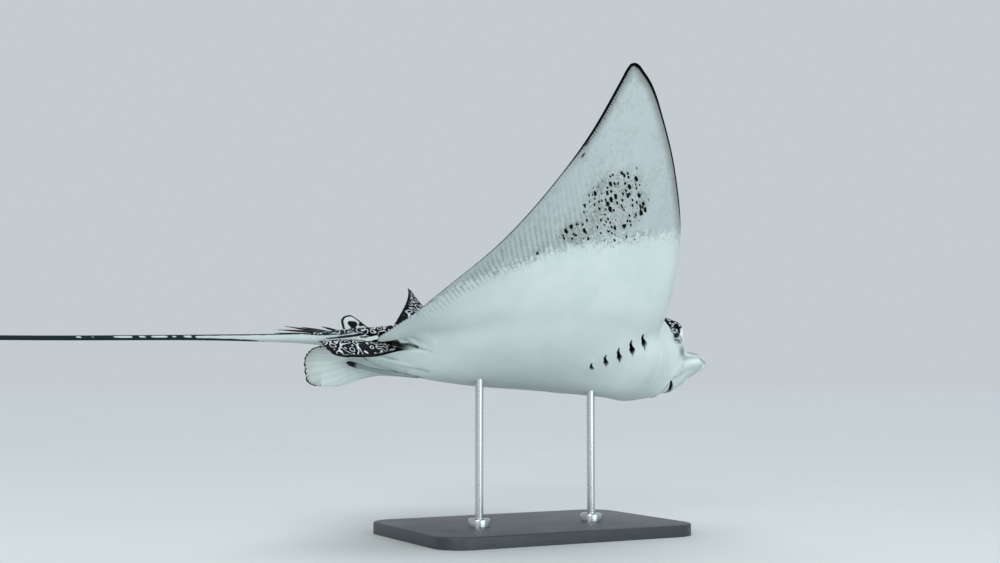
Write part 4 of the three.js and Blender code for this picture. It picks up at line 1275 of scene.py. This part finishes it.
    # The back: black with white rings about 30 mm across, closing up to a maze of 3 mm lines on the
    # wing tips, and a finer one on the tail's root and the small fins. The head has white beads.
    push = node("VectorMath", {0: medium.outputs["Color"], "Scale": 22.0}, operation="SCALE")
    bent = node("VectorMath", (flat, push), operation="ADD")
    cells = node("TexVoronoi", {"Vector": bent, "Scale": 1 / 46, "Randomness": 0.75})
    size = node("MapRange", (cells.outputs["Color"], 0.0, 1.0, 0.14, 0.36), **SOFT)
    off = node("Math", (cells.outputs["Distance"], size), operation="SUBTRACT")
    off = node("Math", (off,), operation="ABSOLUTE")
    ring = node("MapRange", (off, 0.08, 0.05), **SOFT)
    lines = node("Mix", {0: at["fine"], 2: noise[20], 3: noise[11.5]}, data_type="FLOAT")
    lines = node("Math", (lines, 2 * math.pi * MAZE_TURNS), operation="MULTIPLY")
    maze = node("MapRange", (node("Math", (lines,), operation="SINE"), 0.45, 0.85), **SOFT)
    pale = node("Mix", {0: at["maze"], 2: ring, 3: maze}, data_type="FLOAT")
    beads = node("TexVoronoi", {"Vector": flat, "Scale": 1 / 8.5, "Randomness": 0.9})
    beads = node("MapRange", (beads.outputs["Distance"], 0.44, 0.3), **SOFT)
    pale = node("Mix", {0: at["blobs"], 2: pale, 3: beads}, data_type="FLOAT")
    pale = node("Math", (pale, at["pattern"]), operation="MULTIPLY")
    back = node("Mix", {0: pale, 6: linear(BACK_BLACK), 7: linear(RING_WHITE)}, data_type="RGBA")
    above = node("Math", (ragged, 3.5, at["upper"]), operation="MULTIPLY_ADD")
    above = node("MapRange", (above, -0.7, 0.7), **SOFT)

    dotted = node("TexVoronoi", {"Vector": flat, "Scale": 1 / 6.5, "Randomness": 0.9})
    dotted = node("MapRange", (dotted.outputs["Distance"], 0.6, 0.25, 0.3, 1.0), **SOFT)
    dotted = node("Math", (dotted, at["dots"]), operation="MULTIPLY")

    # The coats of paint, one over the other. The last three paint shade in folds, hollows and openings
    # and highlights on the head, together with some grey, white and black of the animal's own.
    coats = ((mottle, linear(STRIPE_GREY)), (ray, linear(STRIPE_GREY)), (haze, linear(SPECK_HALO)),
             (specks, linear(SPECK_BLACK)), (tinted, linear(EDGE_BROWN)), (ticks, linear(BACK_BLACK)),
             (border, linear(BACK_BLACK)), (above, back.outputs[2]), (dotted, linear(SHADE_AND_DUSKY_GREY)),
             (at["shade"], linear(SHADE_AND_DUSKY_GREY)), (at["light"], linear(BRIGHT_WHITE)),
             (at["dark"], linear(SHADE_AND_MARK_BLACK)))
    colour = under
    for factor, paint in coats:
        colour = node("Mix", {0: factor, 6: colour.outputs[2], 7: paint}, data_type="RGBA")

    # Pores and fine wrinkles of 1 to 3 mm, drawn a little coarser than real ones so that they show.
    relief = node("Math", (ray, -0.6, noise[3]), operation="MULTIPLY_ADD")
    bump = node("Bump", {"Height": relief, "Strength": 0.12, "Distance": 0.0012})
    rough = node("MapRange", (medium, 0.3, 0.7, 0.42, 0.58), **SOFT)
    connect(tree, shader, {"Base Color": colour.outputs[2], "Roughness": rough, "Normal": bump, "IOR": 1.35,
                           "Specular IOR Level": 0.05})
    return made


def glass_eye():
    """Polished glass over a painted iris: a small dark pupil, a pale ring and a sharp highlight."""
    made, tree, shader = material("polished glass eye")
    gaze = add(tree, "Attribute", attribute_name="gaze").outputs["Vector"]
    across = add(tree, "VectorMath", (gaze, (0.85, 0.0, 1.0)), operation="MULTIPLY")
    far = add(tree, "VectorMath", (across,), operation="LENGTH").outputs["Value"]
    threads = add(tree, "TexNoise", {"Vector": gaze, "Scale": 14.0, "Detail": 3.0})
    far = add(tree, "Math", (threads, 0.06, far), operation="MULTIPLY_ADD")
    iris = add(tree, "ValToRGB", {"Fac": far})
    stops = ((0.0, "#0b1a22"), (0.26, "#12262f"), (0.31, "#6d848c"), (0.38, "#9fb0b4"), (0.5, "#748a92"),
             (0.56, "#202c33"), (1.0, "#141c20"))
    while len(iris.color_ramp.elements) < len(stops):
        iris.color_ramp.elements.new(0.5)
    for element, (place, code) in zip(iris.color_ramp.elements, stops):
        element.position, element.color = place, linear(code)
    connect(tree, shader, {"Base Color": iris, "Roughness": 0.35, "IOR": 1.5, "Coat Weight": 1.0,
                           "Coat Roughness": 0.03, "Coat IOR": 1.5})
    return made


def horn():
    """Cast resin stained as horn: dark and waxy, paler toward the root."""
    made, tree, shader = material("stained cast resin horn")
    along = add(tree, "Attribute", attribute_name="along").outputs["Fac"]
    place = add(tree, "TexCoord").outputs["Object"]
    grain = add(tree, "TexNoise", {"Vector": place, "Scale": 900.0, "Detail": 3.0})
    stain = add(tree, "Math", (grain, 0.3, along), operation="MULTIPLY_ADD")
    tone = add(tree, "MapRange", (stain, 0.1, 0.6))
    colour = add(tree, "Mix", {0: tone, 6: linear("#1a1a17"), 7: linear("#05070a")}, data_type="RGBA")
    bump = add(tree, "Bump", {"Height": grain, "Strength": 0.3, "Distance": 0.0004})
    connect(tree, shader, {"Base Color": colour.outputs[2], "Roughness": 0.5, "Normal": bump,
                           "Specular IOR Level": 0.25})
    return made


def stand_paint():
    """Sprayed satin paint on a wooden board: even and dark, the open grain just showing through."""
    made, tree, shader = material("satin painted oak board")
    place = add(tree, "TexCoord").outputs["Object"]
    # Oak pores run 10 to 40 mm long and under a millimetre wide; here they are 1.5 mm wide to show.
    stretched = add(tree, "Mapping", {"Vector": place, "Scale": (22.0, 650.0, 650.0)})
    pores = add(tree, "TexNoise", {"Vector": stretched, "Scale": 1.0, "Detail": 3.0, "Roughness": 0.6})
    cloud = add(tree, "TexNoise", {"Vector": place, "Scale": 9.0, "Detail": 2.0})
    open_pores = add(tree, "MapRange", (pores, 0.56, 0.72))
    colour = add(tree, "Mix", {0: cloud, 6: linear("#2b3238"), 7: linear("#343c43")}, data_type="RGBA")
    colour = add(tree, "Mix", {0: open_pores, 6: colour.outputs[2], 7: linear("#20262b")}, data_type="RGBA")
    bump = add(tree, "Bump", {"Height": open_pores, "Strength": 0.35, "Distance": 0.0004}, invert=True)
    rough = add(tree, "MapRange", (cloud, 0.0, 1.0, 0.34, 0.5))
    connect(tree, shader, {"Base Color": colour.outputs[2], "Roughness": rough, "Normal": bump})
    return made


def steel():
    """Stainless steel turned and brushed round: bright, with fine rings that smear the highlights."""
    made, tree, shader = material("brushed stainless steel")
    place = add(tree, "TexCoord").outputs["Object"]
    # Brush marks lie every 0.1 mm; here they are 0.6 mm apart to show.
    rings = add(tree, "Mapping", {"Vector": place, "Scale": (40.0, 40.0, 1600.0)})
    marks = add(tree, "TexNoise", {"Vector": rings, "Scale": 1.0, "Detail": 2.0})
    rough = add(tree, "MapRange", (marks, 0.3, 0.7, 0.2, 0.36))
    tone = add(tree, "Mix", {0: marks, 6: linear("#b9bec2"), 7: linear("#cfd3d6")}, data_type="RGBA")
    bump = add(tree, "Bump", {"Height": marks, "Strength": 0.12, "Distance": 0.0002})
    connect(tree, shader, {"Base Color": tone.outputs[2], "Metallic": 1.0, "Roughness": rough,
                           "Normal": bump})
    return made


def floor_paint():
    """A sealed matt studio floor: pale, almost even."""
    made, tree, shader = material("matt sealed studio floor")
    place = add(tree, "TexCoord").outputs["Object"]
    cloud = add(tree, "TexNoise", {"Vector": place, "Scale": 1.6, "Detail": 3.0})
    colour = add(tree, "Mix", {0: cloud, 6: linear("#c0c5c7"), 7: linear("#c5caca")}, data_type="RGBA")
    connect(tree, shader, {"Base Color": colour.outputs[2], "Roughness": 0.75})
    return made


# ---- the whole model ----

def dress(piece, paint, slot, *nodes):
    """Gives a finished piece its material and the nodes that it stands for. The slot is not used."""
    piece.data.materials.clear()
    piece.data.materials.append(paint)
    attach(piece, "root")
    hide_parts(*nodes)


FLESH = ["snout_lobe", "head", "trunk", "dorsal_fin", *(f"tail_{i}" for i in range(1, 6))]
FLESH += [f"{part}_{side}" for part in ("pelvic_fin", "clasper") for side in ("left", "right")]
FLESH += [f"wing_{side}_{part}" for side in ("left", "right") for part in ("inner", "outer")]

skin = model_skin()
dress(skin, painted_skin(), "skin", *FLESH)

eye, eye_paint = model_eye(), glass_eye()
for name, side in (("eye_left", 1), ("eye_right", -1)):
    placed = copied(eye, f"glass_{name}", local_frame(EYE_BACK, side * EYE_OUT, EYE_UP))
    dress(placed, eye_paint, "eye", name)
bpy.data.objects.remove(eye)

spine, spine_paint = model_spine(), horn()
for number, (start, end, rise, out) in enumerate(SPINES, 1):
    placed = copied(spine, f"toothed_tail_spine_{number}", spine_place(start, end, rise, out))
    dress(placed, spine_paint, "spine", f"tail_spine_{number}")
bpy.data.objects.remove(spine)

low, high = (Vector(corner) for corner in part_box("stand_base"))
dress(model_base(low, high), stand_paint(), "stand_paint", "stand_base")
rod_steel = steel()
for name in ROD_BACKS:
    dress(model_rod(name), rod_steel, "stand_steel", name)

bpy.ops.object.select_all(action="DESELECT")
bpy.ops.mesh.primitive_circle_add(vertices=96, radius=40, fill_type="NGON")
floor = bpy.context.object
floor.name = "studio_floor"
floor.data.materials.append(floor_paint())

# ---- camera and light ----

CAMERA_PLACE, CAMERA_TURN, CAMERA_RISE = (-1.536, -2.741, 0.34), 28, 4
bpy.ops.object.camera_add(location=CAMERA_PLACE,
                          rotation=(math.radians(90 + CAMERA_RISE), 0, math.radians(-CAMERA_TURN)))
camera = bpy.context.object
camera.data.lens = 50.6
camera.data.clip_end = 200
bpy.context.scene.camera = camera
bpy.context.scene.view_settings.view_transform = "Standard"

# A big soft window to the viewer's left, a weaker one low on the right, and a wide even light from
# above that keeps the floor pale as far as it is seen.
for name, kind, place, aim, size, power, colour in (
        ("window light", "AREA", (-3.4, -3.6, 2.6), (-0.2, 0, 0.55), 3.0, 112, "#fffaf2"),
        ("low fill light", "AREA", (0.6, -3.6, 0.5), (-0.2, 0, 0.5), 2.4, 48, "#e6f3fa"),
        ("overhead light", "SUN", (0.6, 0.8, 4), (0, 0, 0), 1.0, 1.5, "#f8fbfd")):
    bpy.ops.object.light_add(type=kind, location=place)
    lamp = bpy.context.object
    lamp.name = name
    lamp.data.energy, lamp.data.color = power, linear(colour)[:3]
    if kind == "AREA":
        lamp.data.shape, lamp.data.size = "DISK", size
    else:
        lamp.data.angle = size
    lamp.rotation_euler = (Vector(aim) - Vector(place)).to_track_quat("-Z", "Y").to_euler()

world = bpy.data.worlds.new("studio air")
bpy.context.scene.world = world
world.use_nodes = True
air = next(n for n in world.node_tree.nodes if n.type == "BACKGROUND")
connect(world.node_tree, air, {"Color": linear("#d9e1e5"), "Strength": 0.8})
